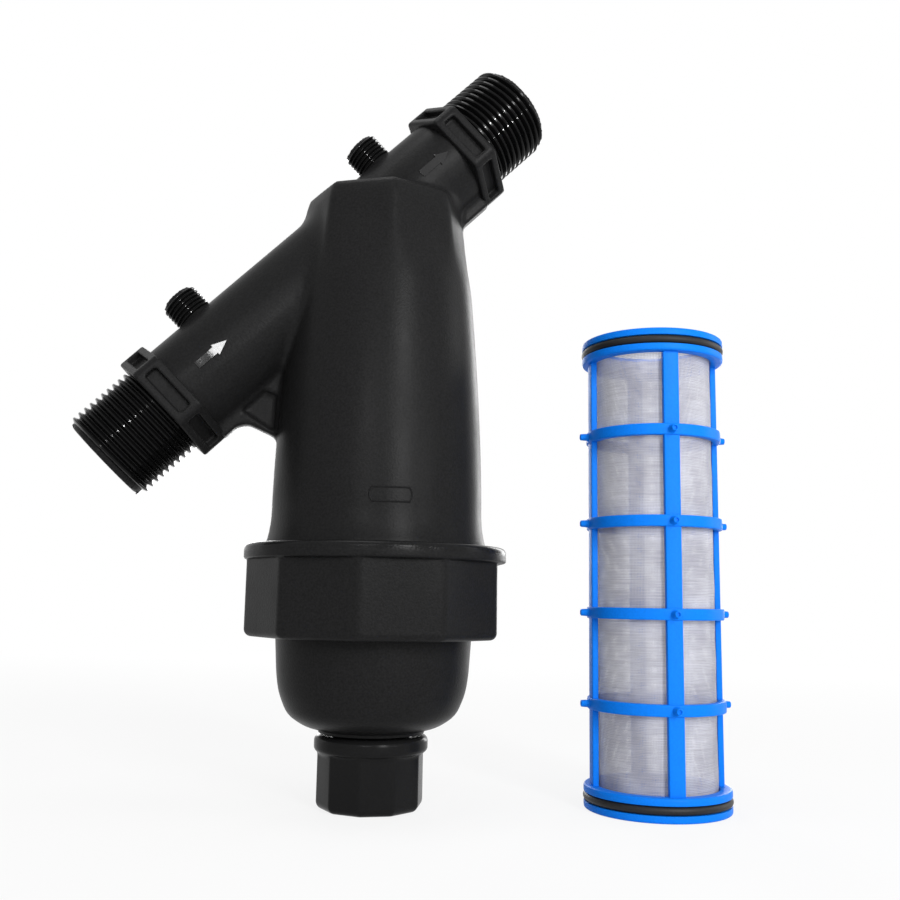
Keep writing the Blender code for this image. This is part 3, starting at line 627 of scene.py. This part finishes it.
def collar(name, start, direction):
    """A hexagonal wrench collar, two of its flats square to Y, with a rounded pocket in each flat."""
    far = start + direction * COLLAR_LENGTH
    low = (-COLLAR_REACH, -COLLAR_REACH, min(start, far) - COLLAR_MARGIN)
    high = (COLLAR_REACH, COLLAR_REACH, max(start, far) + COLLAR_MARGIN)
    x, y, s = field_axes(low, high, COLLAR_VOXEL)
    middle = start + direction * COLLAR_LENGTH / 2
    rho = np.hypot(x, y)
    sixth = math.pi / 3
    off = np.arctan2(y, x) % sixth - sixth / 2
    out = rho * np.cos(off)
    side = rho * np.sin(off)
    beside = rho * np.cos(sixth - np.abs(off))
    flats = round_meet(out - COLLAR_FLATS / 2, beside - COLLAR_FLATS / 2, COLLAR_CORNER)
    solid = round_meet(flats, np.abs(s - middle) - COLLAR_LENGTH / 2, COLLAR_EDGE)
    wide = np.abs(side) - POCKET_WIDTH / 2 + POCKET_CORNER
    long = np.abs(s - middle) - POCKET_LENGTH / 2 + POCKET_CORNER
    mouth = np.hypot(np.maximum(wide, 0), np.maximum(long, 0)) + np.minimum(np.maximum(wide, long), 0)
    floor = COLLAR_FLATS / 2 - POCKET_DEPTH - out
    pocket = round_meet(mouth - POCKET_CORNER, floor, POCKET_FLOOR_ROUND)
    solid = round_meet(solid, -pocket, POCKET_LIP_ROUND)
    solid = np.maximum(solid, RUN_BORE_R + COLLAR_INSIDE - rho)
    return field_object(name, solid, low, COLLAR_VOXEL, run_frame)


# Clamp nut, bowl and cap

def clamp_nut():
    shelf = NUT_BOTTOM_Z + NUT_LIP
    rim_top = NUT_TOP_Z - NUT_RIM_ROUND
    levels = round_levels(1.0, NUT_CORNER_R - NUT_ROUND, NUT_BOTTOM_Z + NUT_ROUND, NUT_ROUND, -90, 0)
    levels += [(NUT_RIM_Z - 1.2, NUT_CORNER_R, 1.0), (NUT_RIM_Z - 0.35, NUT_CORNER_R + 0.05, 0.96)]
    levels += round_levels(0.0, NUT_RIM_R - 0.8, NUT_RIM_Z + 0.8, 0.8, -75, 0, 5)
    levels += round_levels(0.0, NUT_RIM_R - NUT_RIM_ROUND, rim_top, NUT_RIM_ROUND, 0, 90)
    levels += round_levels(0.0, NUT_BORE_R + 1.2, NUT_TOP_Z - 1.2, 1.2, 90, 180, 5)
    levels += [(shelf + 0.3, NUT_BORE_R, 0.0), (shelf, NUT_BORE_R - 0.3, 0.0)]
    levels += [(shelf, NUT_LIP_R + 0.4, 0.0), (shelf - 0.4, NUT_LIP_R, 0.0)]
    levels += round_levels(0.0, NUT_LIP_R + 1.0, NUT_BOTTOM_Z + 1.0, 1.0, 180, 270, 5)
    return faceted("nut_shell", levels, NUT_SIDES, NUT_TURN, NUT_CREASE, NUT_STEPS)


def sediment_bowl():
    ledge_r = SEAT_R - STOP_LEDGE
    half = ORING_GROOVE_WIDTH / 2
    groove_z = BOWL_FLANGE_HIGH_Z - ORING_GROOVE_DEPTH
    corners = [
        (NECK_BORE_R, NECK_BOTTOM_Z, 0.4),
        (NECK_ROOT_R, NECK_BOTTOM_Z, 0.8),
        (NECK_ROOT_R, NECK_COLLAR_Z, 0.5),
        (NECK_COLLAR_R, NECK_COLLAR_Z, 0.4),
        (NECK_COLLAR_R, NECK_COLLAR_Z + 1.0, 0.5),
        (BOWL_HIP_R, BOWL_HIP_Z, 3.0),
        (BOWL_ROUND_R, BOWL_ROUND_Z, 4.0),
        (BOWL_SIDE_LOW_R - 0.9, BOWL_SIDE_LOW_Z - 5.6, 4.0),
        (BOWL_SIDE_LOW_R, BOWL_SIDE_LOW_Z, 5.0),
        (BOWL_R, BOWL_FLANGE_LOW_Z, 0.8),
        (BOWL_FLANGE_R, BOWL_FLANGE_LOW_Z, 0.4),
        (BOWL_FLANGE_R, BOWL_FLANGE_HIGH_Z, 0.4),
        (ORING_GROOVE_R + half, BOWL_FLANGE_HIGH_Z, 0.2),
        (ORING_GROOVE_R + half, groove_z, 0.2),
        (ORING_GROOVE_R - half, groove_z, 0.2),
        (ORING_GROOVE_R - half, BOWL_FLANGE_HIGH_Z, 0.2),
        (BOWL_R - BOWL_WALL, BOWL_FLANGE_HIGH_Z, 0.5),
        (BOWL_SIDE_LOW_R - BOWL_WALL, BOWL_SEAT_HIGH_Z + BOWL_SEAT_LEAD, 1.5),
        (SEAT_R, BOWL_SEAT_HIGH_Z, 0.5),
        (SEAT_R, BOWL_SEAT_FLOOR_Z, 0.4),
        (ledge_r, BOWL_SEAT_FLOOR_Z, 0.4),
        (NECK_BORE_R, FUNNEL_Z, 1.0),
    ]
    return turned("bowl_shell", rounded_profile(corners))


def drain_cap():
    bead_r = CAP_BEAD_R - CAP_BEAD_ROUND
    levels = round_levels(1.0, CAP_R - CAP_ROUND, CAP_ROUND, CAP_ROUND, -90, 0)
    levels += [(CAP_FACETS_TOP_Z - 0.8, CAP_R, 1.0), (CAP_FACETS_TOP_Z, CAP_R, 0.7)]
    levels += round_levels(0.0, bead_r, CAP_BEAD_BOTTOM_Z + CAP_BEAD_ROUND, CAP_BEAD_ROUND, -60, 0)
    levels += round_levels(0.0, bead_r, CAP_BEAD_TOP_Z - CAP_BEAD_ROUND, CAP_BEAD_ROUND, 0, 90)
    levels += round_levels(0.0, CAP_BORE_R + 0.6, CAP_BEAD_TOP_Z - 0.6, 0.6, 90, 180, 4)
    levels += [(CAP_FLOOR + 0.3, CAP_BORE_R, 0.0), (CAP_FLOOR, CAP_BORE_R - 0.3, 0.0)]
    levels += [(CAP_FLOOR, 0.01, 0.0), (0.0, 0.01, 0.0)]
    return faceted("cap_shell", levels, CAP_SIDES, CAP_TURN, CAP_CREASE, CAP_STEPS)


def rubber_ring(name, centre_r, centre_z, wide, high, transform=None):
    outline = [(centre_r + wide * math.cos(a), centre_z + high * math.sin(a)) for a in angles(SMALL_STEPS)]
    return turned(name, outline, transform=transform)


# Screen cartridge

def end_flange(bm, low, flip):
    """One blue end of the cartridge, with the groove that holds its O-ring."""
    seal_z = END_HEIGHT / 2
    half = SEAL_R + 0.1
    groove_r = END_R + SEAL_PROUD - 2 * SEAL_R - 0.05
    corners = [
        (FRAME_BORE_R, 0.0, 0.5),
        (END_R, 0.0, END_EDGE + 0.4),
        (END_R, seal_z - half, 0.25),
        (groove_r, seal_z - half, 0.3),
        (groove_r, seal_z + half, 0.3),
        (END_R, seal_z + half, 0.25),
        (END_R, END_HEIGHT, END_EDGE + 0.4),
        (FRAME_BORE_R, END_HEIGHT, 0.4),
    ]
    outline = rounded_profile(corners)
    if flip:
        outline = [(r, -z) for r, z in outline]
    add_turned(bm, [(r, z + low) for r, z in outline])


def ring_heights():
    first = END_HEIGHT / 2
    last = CARTRIDGE_LENGTH - END_HEIGHT / 2
    return [first + (last - first) * (k + 1) / (RING_COUNT + 1) for k in range(RING_COUNT)]


def add_bar(bm, turn):
    """One upright bar, with rounded edges, from flange to flange."""
    bottom = END_HEIGHT - 1.0
    top = CARTRIDGE_LENGTH - END_HEIGHT + 1.0
    half = BAR_WIDTH / 2
    corners = [
        (FRAME_BORE_R, -half, 0.3),
        (BAR_R - 0.1, -half, 0.4),
        (BAR_R, 0.0, 0.9),
        (BAR_R - 0.1, half, 0.4),
        (FRAME_BORE_R, half, 0.3),
    ]
    section = rounded_profile(corners)
    about = Matrix.Rotation(math.radians(turn), 4, "Z")
    loops = [[bm.verts.new(about @ Vector((x, y, z))) for x, y in section] for z in (bottom, top)]
    bridge(bm, loops, closed_tube=False)


def add_peg(bm, turn, height):
    """A short tapered peg on a ring, with a dimple in its tip."""
    inner = RING_R - 0.8
    levels = [
        (inner, PEG_BASE + 0.5),
        (RING_R - 0.1, PEG_BASE + 0.3),
        (RING_R + 0.3, PEG_BASE),
        (PEG_TIP_R - 0.3, PEG_TIP),
        (PEG_TIP_R - 0.06, PEG_TIP - 0.1),
        (PEG_TIP_R, PEG_TIP - 0.3),
        (PEG_TIP_R - 0.06, PEG_TIP - 0.42),
        (PEG_TIP_R - 0.6, PEG_TIP - 0.6),
    ]
    about = Matrix.Rotation(math.radians(turn), 4, "Z") @ Matrix.Translation((0, 0, height))
    loops = []
    for out, r in levels:
        ring = [about @ Vector((out, r * math.cos(a), r * math.sin(a))) for a in angles(SMALL_STEPS)]
        loops.append([bm.verts.new(place) for place in ring])
    bridge(bm, loops, closed_tube=False)


def screen_frame():
    bm = bmesh.new()
    end_flange(bm, 0.0, flip=False)
    end_flange(bm, CARTRIDGE_LENGTH, flip=True)
    half = RING_HEIGHT / 2
    for height in ring_heights():
        corners = [
            (FRAME_BORE_R, height - half, 0.3),
            (RING_R - 0.05, height - half, 0.4),
            (RING_R, height, 0.8),
            (RING_R - 0.05, height + half, 0.4),
            (FRAME_BORE_R, height + half, 0.3),
        ]
        add_turned(bm, rounded_profile(corners))
    for k in range(BAR_COUNT):
        turn = 360 * k / BAR_COUNT
        add_bar(bm, turn)
        for height in ring_heights():
            add_peg(bm, turn, height)
    return finish_mesh("cartridge_frame", bm, cartridge_frame)


def screen_sleeve():
    """The woven sleeve, slightly uneven between the rings, with its seam and a UV grid in millimetres."""
    around, up = SLEEVE_STEPS_AROUND, SLEEVE_STEPS_UP
    low, high = SCREEN_END_INSET, CARTRIDGE_LENGTH - SCREEN_END_INSET
    holds = [low] + ring_heights() + [high]
    bm = bmesh.new()
    uv = bm.loops.layers.uv.new("weave")
    rows = []
    for j in range(up + 1):
        z = low + (high - low) * j / up
        free = min(min(abs(z - h) for h in holds) / 8.0, 1.0)
        ring = []
        for a in angles(around):
            bar = abs(math.sin(2 * a))
            wave = math.sin(3 * a + z * 0.21) + 0.6 * math.sin(5 * a - z * 0.33 + 1.3)
            wave += 0.5 * math.sin(9 * a + z * 0.5)
            r = SCREEN_R + SLEEVE_WAVE * free * bar * wave
            ring.append(bm.verts.new((r * math.cos(a), r * math.sin(a), z)))
        rows.append(ring)
    for j in range(up):
        for k in range(around):
            n = (k + 1) % around
            face = bm.faces.new((rows[j][k], rows[j][n], rows[j + 1][n], rows[j + 1][k]))
            places = ((k, j), (k + 1, j), (k + 1, j + 1), (k, j + 1))
            for loop, (p, q) in zip(face.loops, places):
                loop[uv].uv = (p / around, q / up)
    return finish_mesh("cartridge_sleeve", bm, cartridge_frame)


# Relief marks

def flow_arrow(name, tail_s, head_s):
    """A raised arrow on the run's near side, pointing the way the water flows."""
    length = head_s - tail_s
    neck = length * 0.6
    outline = [
        (0, -ARROW_SHAFT), (neck, -ARROW_SHAFT), (neck, -ARROW_HEAD), (length, 0),
        (neck, ARROW_HEAD), (neck, ARROW_SHAFT), (0, ARROW_SHAFT),
    ]
    middle = length * 0.62
    face = RUN_R + ARROW_RISE
    bm = bmesh.new()
    loops = []
    for out, share in ((RUN_R - ARROW_SUNK, 1.0), (face - 0.1, 1.0), (face, 0.93)):
        ring = [(middle + (s - middle) * share, n * share) for s, n in outline]
        loops.append([bm.verts.new((-n, -out, tail_s + s)) for s, n in ring])
    bridge(bm, loops, closed_tube=False)
    return finish_mesh(name, bm, run_frame, sharp=25.0)


def plate_outline():
    """The raised outline of the bare plate on the front of the body."""
    width = PLATE_RIGHT - PLATE_LEFT
    height = PLATE_HIGH_Z - PLATE_LOW_Z
    along_side = [k / PLATE_SIDE_STEPS for k in range(PLATE_SIDE_STEPS)]
    along_end = [k / PLATE_END_STEPS for k in range(PLATE_END_STEPS)]
    bows = [PLATE_BOW * math.sin(math.pi * t) for t in along_end]
    path = [(PLATE_LEFT + width * t, PLATE_LOW_Z) for t in along_side]
    path += [(PLATE_RIGHT + bow, PLATE_LOW_Z + height * t) for t, bow in zip(along_end, bows)]
    path += [(PLATE_RIGHT - width * t, PLATE_HIGH_Z) for t in along_side]
    path += [(PLATE_LEFT - bow, PLATE_HIGH_Z - height * t) for t, bow in zip(along_end, bows)]
    bm = bmesh.new()
    loops = []
    count = len(path)
    for k, (x, z) in enumerate(path):
        before, after = path[k - 1], path[(k + 1) % count]
        along = Vector((after[0] - before[0], after[1] - before[1])).normalized()
        side = Vector((along.y, -along.x))
        ring = []
        for wide, rise in PLATE_RIDGE:
            px, pz = x + side.x * wide, z + side.y * wide
            r = float(body_radius(pz)) + rise
            ring.append(bm.verts.new((px, -math.sqrt(r * r - px * px), pz)))
        loops.append(ring)
    bridge(bm, loops, closed_tube=True)
    return finish_mesh("plate_outline", bm)


# Materials

def node(tree, kind, **values):
    made = tree.nodes.new(kind)
    for key, value in values.items():
        if hasattr(made, key):
            setattr(made, key, value)
        else:
            made.inputs[key.replace("_", " ")].default_value = value
    return made


def remapped(tree, value, low, high, start, end):
    """A value that runs from start to end as another runs from low to high."""
    made = node(tree, "ShaderNodeMapRange", From_Min=low, From_Max=high, To_Min=start, To_Max=end)
    tree.links.new(value, made.inputs["Value"])
    return made.outputs["Result"]


def toned(tree, value, dark, pale):
    """A colour between two, by the middle part of a noise."""
    ramp = node(tree, "ShaderNodeValToRGB")
    for element, position, colour in zip(ramp.color_ramp.elements, (0.3, 0.7), (dark, pale)):
        element.position = position
        element.color = colour
    tree.links.new(value, ramp.inputs["Fac"])
    return ramp.outputs["Color"]


def moulded(
    name, colour, roughness, specular, grain=0.00006, grain_scale=1500.0, spread=0.05, tone=0.25, polish=None
):
    """Moulded plastic: a fine grain, slow drifts of gloss, and faint changes of tone.

    A polish is a height in millimetres, above which the moulding is glossy, and its roughness there.
    """
    made = bpy.data.materials.new(name)
    made.use_nodes = True
    tree = made.node_tree
    shader = tree.nodes["Principled BSDF"]
    shader.inputs["IOR"].default_value = 1.5
    shader.inputs["Specular IOR Level"].default_value = specular
    place = node(tree, "ShaderNodeTexCoord")
    fine = node(tree, "ShaderNodeTexNoise", Scale=grain_scale, Detail=2.0, Roughness=0.6)
    slow = node(tree, "ShaderNodeTexNoise", Scale=55.0, Detail=3.0, Roughness=0.55)
    tree.links.new(place.outputs["Object"], fine.inputs["Vector"])
    tree.links.new(place.outputs["Object"], slow.inputs["Vector"])
    rough = remapped(tree, slow.outputs["Fac"], 0.3, 0.7, roughness - spread, roughness + spread)
    if polish:
        height, polished = polish
        split = node(tree, "ShaderNodeSeparateXYZ")
        tree.links.new(place.outputs["Object"], split.inputs["Vector"])
        turn = node(tree, "ShaderNodeMapRange", From_Min=height * MM, From_Max=(height + 1.0) * MM)
        turn.inputs["To Max"].default_value = polished
        tree.links.new(split.outputs["Z"], turn.inputs["Value"])
        tree.links.new(rough, turn.inputs["To Min"])
        rough = turn.outputs["Result"]
    tree.links.new(rough, shader.inputs["Roughness"])
    dark = [c * (1 - tone) for c in colour] + [1.0]
    pale = [min(1.0, c * (1 + tone)) for c in colour] + [1.0]
    tree.links.new(toned(tree, fine.outputs["Fac"], dark, pale), shader.inputs["Base Color"])
    bump = node(tree, "ShaderNodeBump")
    bump.inputs["Strength"].default_value = 1.0
    bump.inputs["Distance"].default_value = grain
    tree.links.new(fine.outputs["Fac"], bump.inputs["Height"])
    tree.links.new(bump.outputs["Normal"], shader.inputs["Normal"])
    return made


def woven(name):
    """Fine woven cloth: threads over and under, open cells that let the inside show, and uneven patches."""
    made = bpy.data.materials.new(name)
    made.use_nodes = True
    tree = made.node_tree
    links = tree.links
    shader = tree.nodes["Principled BSDF"]
    shader.inputs["Roughness"].default_value = 0.42
    shader.inputs["Specular IOR Level"].default_value = 0.5
    uv = node(tree, "ShaderNodeUVMap", uv_map="weave")
    split = node(tree, "ShaderNodeSeparateXYZ")
    links.new(uv.outputs["UV"], split.inputs["Vector"])
    threads = []
    for axis, count in WEAVE_THREADS:
        scaled = node(tree, "ShaderNodeMath", operation="MULTIPLY")
        scaled.inputs[1].default_value = math.pi * count
        links.new(split.outputs[axis], scaled.inputs[0])
        wave = node(tree, "ShaderNodeMath", operation="SINE")
        links.new(scaled.outputs[0], wave.inputs[0])
        size = node(tree, "ShaderNodeMath", operation="ABSOLUTE")
        links.new(wave.outputs[0], size.inputs[0])
        threads.append(size)
    height = node(tree, "ShaderNodeMath", operation="MAXIMUM")
    links.new(threads[0].outputs[0], height.inputs[0])
    links.new(threads[1].outputs[0], height.inputs[1])
    place = node(tree, "ShaderNodeTexCoord")
    patches = node(tree, "ShaderNodeTexNoise", Scale=70.0, Detail=2.0, Roughness=0.5)
    links.new(place.outputs["Object"], patches.inputs["Vector"])
    cloth = toned(tree, patches.outputs["Fac"], (0.36, 0.36, 0.42, 1.0), (0.60, 0.60, 0.66, 1.0))
    stretch = node(tree, "ShaderNodeMapping")
    stretch.inputs["Scale"].default_value = (9.0, 420.0, 1.0)
    links.new(uv.outputs["UV"], stretch.inputs["Vector"])
    streaks = node(tree, "ShaderNodeTexNoise", Scale=1.0, Detail=2.0, Roughness=0.5)
    links.new(stretch.outputs["Vector"], streaks.inputs["Vector"])
    tinted = node(tree, "ShaderNodeVectorMath", operation="SCALE")
    links.new(cloth, tinted.inputs[0])
    links.new(remapped(tree, streaks.outputs["Fac"], 0.35, 0.6, 0.80, 1.0), tinted.inputs["Scale"])
    links.new(tinted.outputs["Vector"], shader.inputs["Base Color"])
    links.new(remapped(tree, height.outputs[0], 0.45, 0.75, 0.10, 0.84), shader.inputs["Alpha"])
    bump = node(tree, "ShaderNodeBump")
    bump.inputs["Distance"].default_value = 0.00008
    links.new(height.outputs[0], bump.inputs["Height"])
    links.new(bump.outputs["Normal"], shader.inputs["Normal"])
    return made


satin_black = moulded("satin_black", (0.0108, 0.0108, 0.0110), 0.34, 0.05)
nut_black = moulded("nut_black", (0.0108, 0.0108, 0.0110), 0.34, 0.05, polish=(NUT_RIM_Z + 2.0, 0.16))
thread_black = moulded(
    "thread_black", (0.0035, 0.0035, 0.0036), 0.10, 0.09, grain=0.000003, spread=0.01, tone=0.1
)
arrow_black = moulded(
    "arrow_black", (0.0100, 0.0100, 0.0103), 0.10, 0.40, grain=0.00001, spread=0.02, tone=0.1
)
bead_black = moulded("bead_black", (0.0090, 0.0090, 0.0092), 0.24, 0.06, grain=0.00001, tone=0.1)
seal_rubber = moulded("seal_rubber", (0.010, 0.010, 0.011), 0.5, 0.25, grain=0.00002)
frame_blue = moulded("frame_blue", (0.004, 0.180, 0.760), 0.42, 0.05, grain=0.00002, tone=0.06)
screen_cloth = woven("screen_cloth")


def dress(piece, body, paint, slot, *nodes):
    """Gives a piece its material and the body that it rides on, and hides the nodes that it stands for; its
    slot is not used.
    """
    piece.data.materials.clear()
    piece.data.materials.append(paint)
    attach(piece, body)
    if nodes:
        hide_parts(*nodes)
    return piece


# Pieces

dress(housing_shell(), "housing", satin_black, "black_plastic", "housing_body")
dress(collar("inlet_collar", INLET_COLLAR_S, -1), "housing", satin_black, "black_plastic")
dress(collar("outlet_collar", OUTLET_COLLAR_S, 1), "housing", satin_black, "black_plastic")

inlet_thread = helix(
    "inlet_thread", PIPE_ROOT_R, PIPE_CREST_R, PIPE_PITCH,
    run_low + PIPE_PHASE, INLET_COLLAR_S - COLLAR_LENGTH + 1.0, run_frame,
)
dress(inlet_thread, "housing", thread_black, "black_plastic")
outlet_thread = helix(
    "outlet_thread", PIPE_ROOT_R, PIPE_CREST_R, PIPE_PITCH,
    OUTLET_RIDGE_S, run_high - PIPE_PHASE, run_frame,
)
dress(outlet_thread, "housing", thread_black, "black_plastic")

for label, place in (("inlet", INLET_NIPPLE_S), ("outlet", OUTLET_NIPPLE_S)):
    upright = run_frame @ Matrix.Translation((0, 0, place)) @ Matrix.Rotation(math.radians(-90), 4, "Y")
    ridge = helix(
        f"{label}_nipple_thread", NIPPLE_ROOT_R, NIPPLE_CREST_R, NIPPLE_PITCH,
        RUN_R - 0.6, NIPPLE_HEIGHT - 0.7, upright, steps=NIPPLE_STEPS,
    )
    dress(ridge, "housing", thread_black, "black_plastic")

male_thread = helix(
    "male_thread", MALE_ROOT_R, MALE_CREST_R, MALE_PITCH,
    MALE_BOTTOM_Z + MALE_PHASE, MALE_TOP_Z - 1.6, fade=0.3, steps=TURN_STEPS,
)
dress(male_thread, "housing", thread_black, "black_plastic")
dress(flow_arrow("inlet_flow_arrow", *INLET_ARROW), "housing", arrow_black, "black_plastic")
dress(flow_arrow("outlet_flow_arrow", *OUTLET_ARROW), "housing", arrow_black, "black_plastic")
dress(plate_outline(), "housing", satin_black, "black_plastic")

dress(clamp_nut(), "nut", nut_black, "black_plastic", "clamp_nut")
dress(sediment_bowl(), "bowl", satin_black, "black_plastic", "sediment_bowl")
groove_mid = BOWL_FLANGE_HIGH_Z - ORING_GROOVE_DEPTH / 2 + 0.15
bowl_ring = rubber_ring("bowl_ring", ORING_GROOVE_R, groove_mid, 0.9, 0.7)
dress(bowl_ring, "bowl", seal_rubber, "seal_rubber", "bowl_oring")
neck_thread = helix(
    "neck_thread", NECK_ROOT_R, NECK_CREST_R, NECK_PITCH, NECK_BOTTOM_Z + 1.4, NECK_COLLAR_Z - 1.4
)
dress(neck_thread, "bowl", thread_black, "black_plastic")
dress(drain_cap(), "cap", bead_black, "black_plastic", "drain_cap")
gasket_corners = [
    (GASKET_HOLE_R, CAP_FLOOR + 0.3, 0.2),
    (CAP_BORE_R - 0.4, CAP_FLOOR + 0.3, 0.2),
    (CAP_BORE_R - 0.4, NECK_BOTTOM_Z - 0.3, 0.2),
    (GASKET_HOLE_R, NECK_BOTTOM_Z - 0.3, 0.2),
]
gasket = turned("gasket_washer", rounded_profile(gasket_corners), 96)
dress(gasket, "gasket", seal_rubber, "seal_rubber", "drain_gasket")

dress(screen_frame(), "housing", frame_blue, "blue_plastic", "screen_frame")
dress(screen_sleeve(), "housing", screen_cloth, "screen_cloth", "screen_mesh")
seal_places = (("lower", END_HEIGHT / 2), ("upper", CARTRIDGE_LENGTH - END_HEIGHT / 2))
for label, height in seal_places:
    centre = END_R + SEAL_PROUD - SEAL_R
    ring = rubber_ring(f"{label}_seal_ring", centre, height, SEAL_R, SEAL_R, cartridge_frame)
    dress(ring, "housing", seal_rubber, "seal_rubber", f"{label}_screen_oring")


# Floor, world, lights and camera

def background_ray(tree):
    """One where a ray comes from the camera, or is mirrored or let through, so that it sees white."""
    path = node(tree, "ShaderNodeLightPath")
    total = node(tree, "ShaderNodeMath", operation="MAXIMUM")
    both = node(tree, "ShaderNodeMath", operation="MAXIMUM")
    tree.links.new(path.outputs["Is Camera Ray"], both.inputs[0])
    tree.links.new(path.outputs["Is Glossy Ray"], both.inputs[1])
    tree.links.new(both.outputs[0], total.inputs[0])
    tree.links.new(path.outputs["Is Transmission Ray"], total.inputs[1])
    return total


def floor():
    bpy.ops.mesh.primitive_plane_add(size=FLOOR_SIZE, location=(0, 0, 0))
    made = bpy.context.object
    made.name = "floor"
    paint = bpy.data.materials.new("floor_white")
    paint.use_nodes = True
    tree = paint.node_tree
    tree.nodes.clear()
    matte = node(tree, "ShaderNodeBsdfDiffuse")
    matte.inputs["Color"].default_value = FLOOR_GREY
    glow = node(tree, "ShaderNodeEmission")
    mix = node(tree, "ShaderNodeMixShader")
    share = node(tree, "ShaderNodeMath", operation="MULTIPLY")
    out = node(tree, "ShaderNodeOutputMaterial")
    place = node(tree, "ShaderNodeTexCoord")
    away = node(tree, "ShaderNodeVectorMath", operation="LENGTH")
    tree.links.new(place.outputs["Object"], away.inputs[0])
    fade = remapped(tree, away.outputs["Value"], FLOOR_FADE_START, FLOOR_FADE_END, FLOOR_GLOW, 1.0)
    tree.links.new(fade, share.inputs[1])
    tree.links.new(background_ray(tree).outputs[0], share.inputs[0])
    tree.links.new(share.outputs[0], mix.inputs["Fac"])
    tree.links.new(matte.outputs[0], mix.inputs[1])
    tree.links.new(glow.outputs[0], mix.inputs[2])
    tree.links.new(mix.outputs[0], out.inputs["Surface"])
    made.data.materials.append(paint)


def world():
    made = bpy.data.worlds.new("white_world")
    bpy.context.scene.world = made
    made.use_nodes = True
    tree = made.node_tree
    tree.nodes.clear()
    dim = node(tree, "ShaderNodeBackground", Strength=WORLD_LIGHT, Color=WHITE)
    white = node(tree, "ShaderNodeBackground", Strength=1.0, Color=WHITE)
    mix = node(tree, "ShaderNodeMixShader")
    out = node(tree, "ShaderNodeOutputWorld")
    tree.links.new(background_ray(tree).outputs[0], mix.inputs["Fac"])
    tree.links.new(dim.outputs[0], mix.inputs[1])
    tree.links.new(white.outputs[0], mix.inputs[2])
    tree.links.new(mix.outputs[0], out.inputs["Surface"])


def lamp(name, place, target, width, height, watts):
    data = bpy.data.lights.new(name, "AREA")
    data.shape = "RECTANGLE"
    data.size = width
    data.size_y = height
    data.energy = watts
    made = bpy.data.objects.new(name, data)
    made.location = place
    made.rotation_euler = (Vector(target) - Vector(place)).to_track_quat("-Z", "Y").to_euler()
    bpy.context.scene.collection.objects.link(made)


def camera():
    yaw, pitch, roll = (math.radians(a) for a in (CAMERA_YAW, CAMERA_PITCH, CAMERA_ROLL))
    right = Vector((math.cos(yaw), -math.sin(yaw), 0))
    ahead = Vector((math.sin(yaw), math.cos(yaw), 0))
    up = Vector((0, 0, 1))
    look = ahead * math.cos(pitch) + up * math.sin(pitch)
    top = up * math.cos(pitch) - ahead * math.sin(pitch)
    across = right * math.cos(roll) - top * math.sin(roll)
    upward = top * math.cos(roll) + right * math.sin(roll)
    turn = Matrix((across, upward, -look)).transposed()
    data = bpy.data.cameras.new("camera")
    data.sensor_width = SENSOR_WIDTH
    data.lens = SENSOR_WIDTH * CAMERA_FOCAL
    data.clip_start = 0.01
    data.clip_end = 50.0
    made = bpy.data.objects.new("camera", data)
    made.matrix_world = Matrix.Translation(CAMERA_PLACE * MM) @ turn.to_4x4()
    bpy.context.scene.collection.objects.link(made)
    bpy.context.scene.camera = made


floor()
world()
lamp("key", (0.34, -0.95, 0.36), MIDDLE, 0.22, 0.50, 7.0)
lamp("side", (1.00, 0.05, 0.30), MIDDLE, 0.25, 0.60, 1.8)
lamp("back_right", (0.62, 0.80, 0.30), MIDDLE, 0.20, 0.60, 2.5)
lamp("back_left", (-0.85, 0.55, 0.30), MIDDLE, 0.20, 0.60, 0.2)
lamp("back", (0.00, 1.05, 0.34), MIDDLE, 0.35, 0.60, 3.5)
lamp("top", (-0.10, -0.10, 0.95), (0.0, 0.0, 0.15), 0.45, 0.30, 2.0)
lamp("inlet_spark", (-0.20, -0.575, 0.238), INLET_SHANK, SPARK_SIZE, SPARK_SIZE, SPARK_WATTS)
lamp("outlet_spark", (0.23, -0.54, 0.405), OUTLET_SHANK, SPARK_SIZE, SPARK_SIZE, SPARK_WATTS)
lamp("outlet_side_spark", (0.435, -0.448, 0.207), OUTLET_SHANK, SPARK_SIZE, SPARK_SIZE, SPARK_WATTS)
lamp("arrow_spark", (-0.102, -0.598, 0.284), (-0.055, -0.017, 0.143), 0.05, 0.05, 0.25)
camera()
bpy.context.scene.view_settings.view_transform = "Standard"
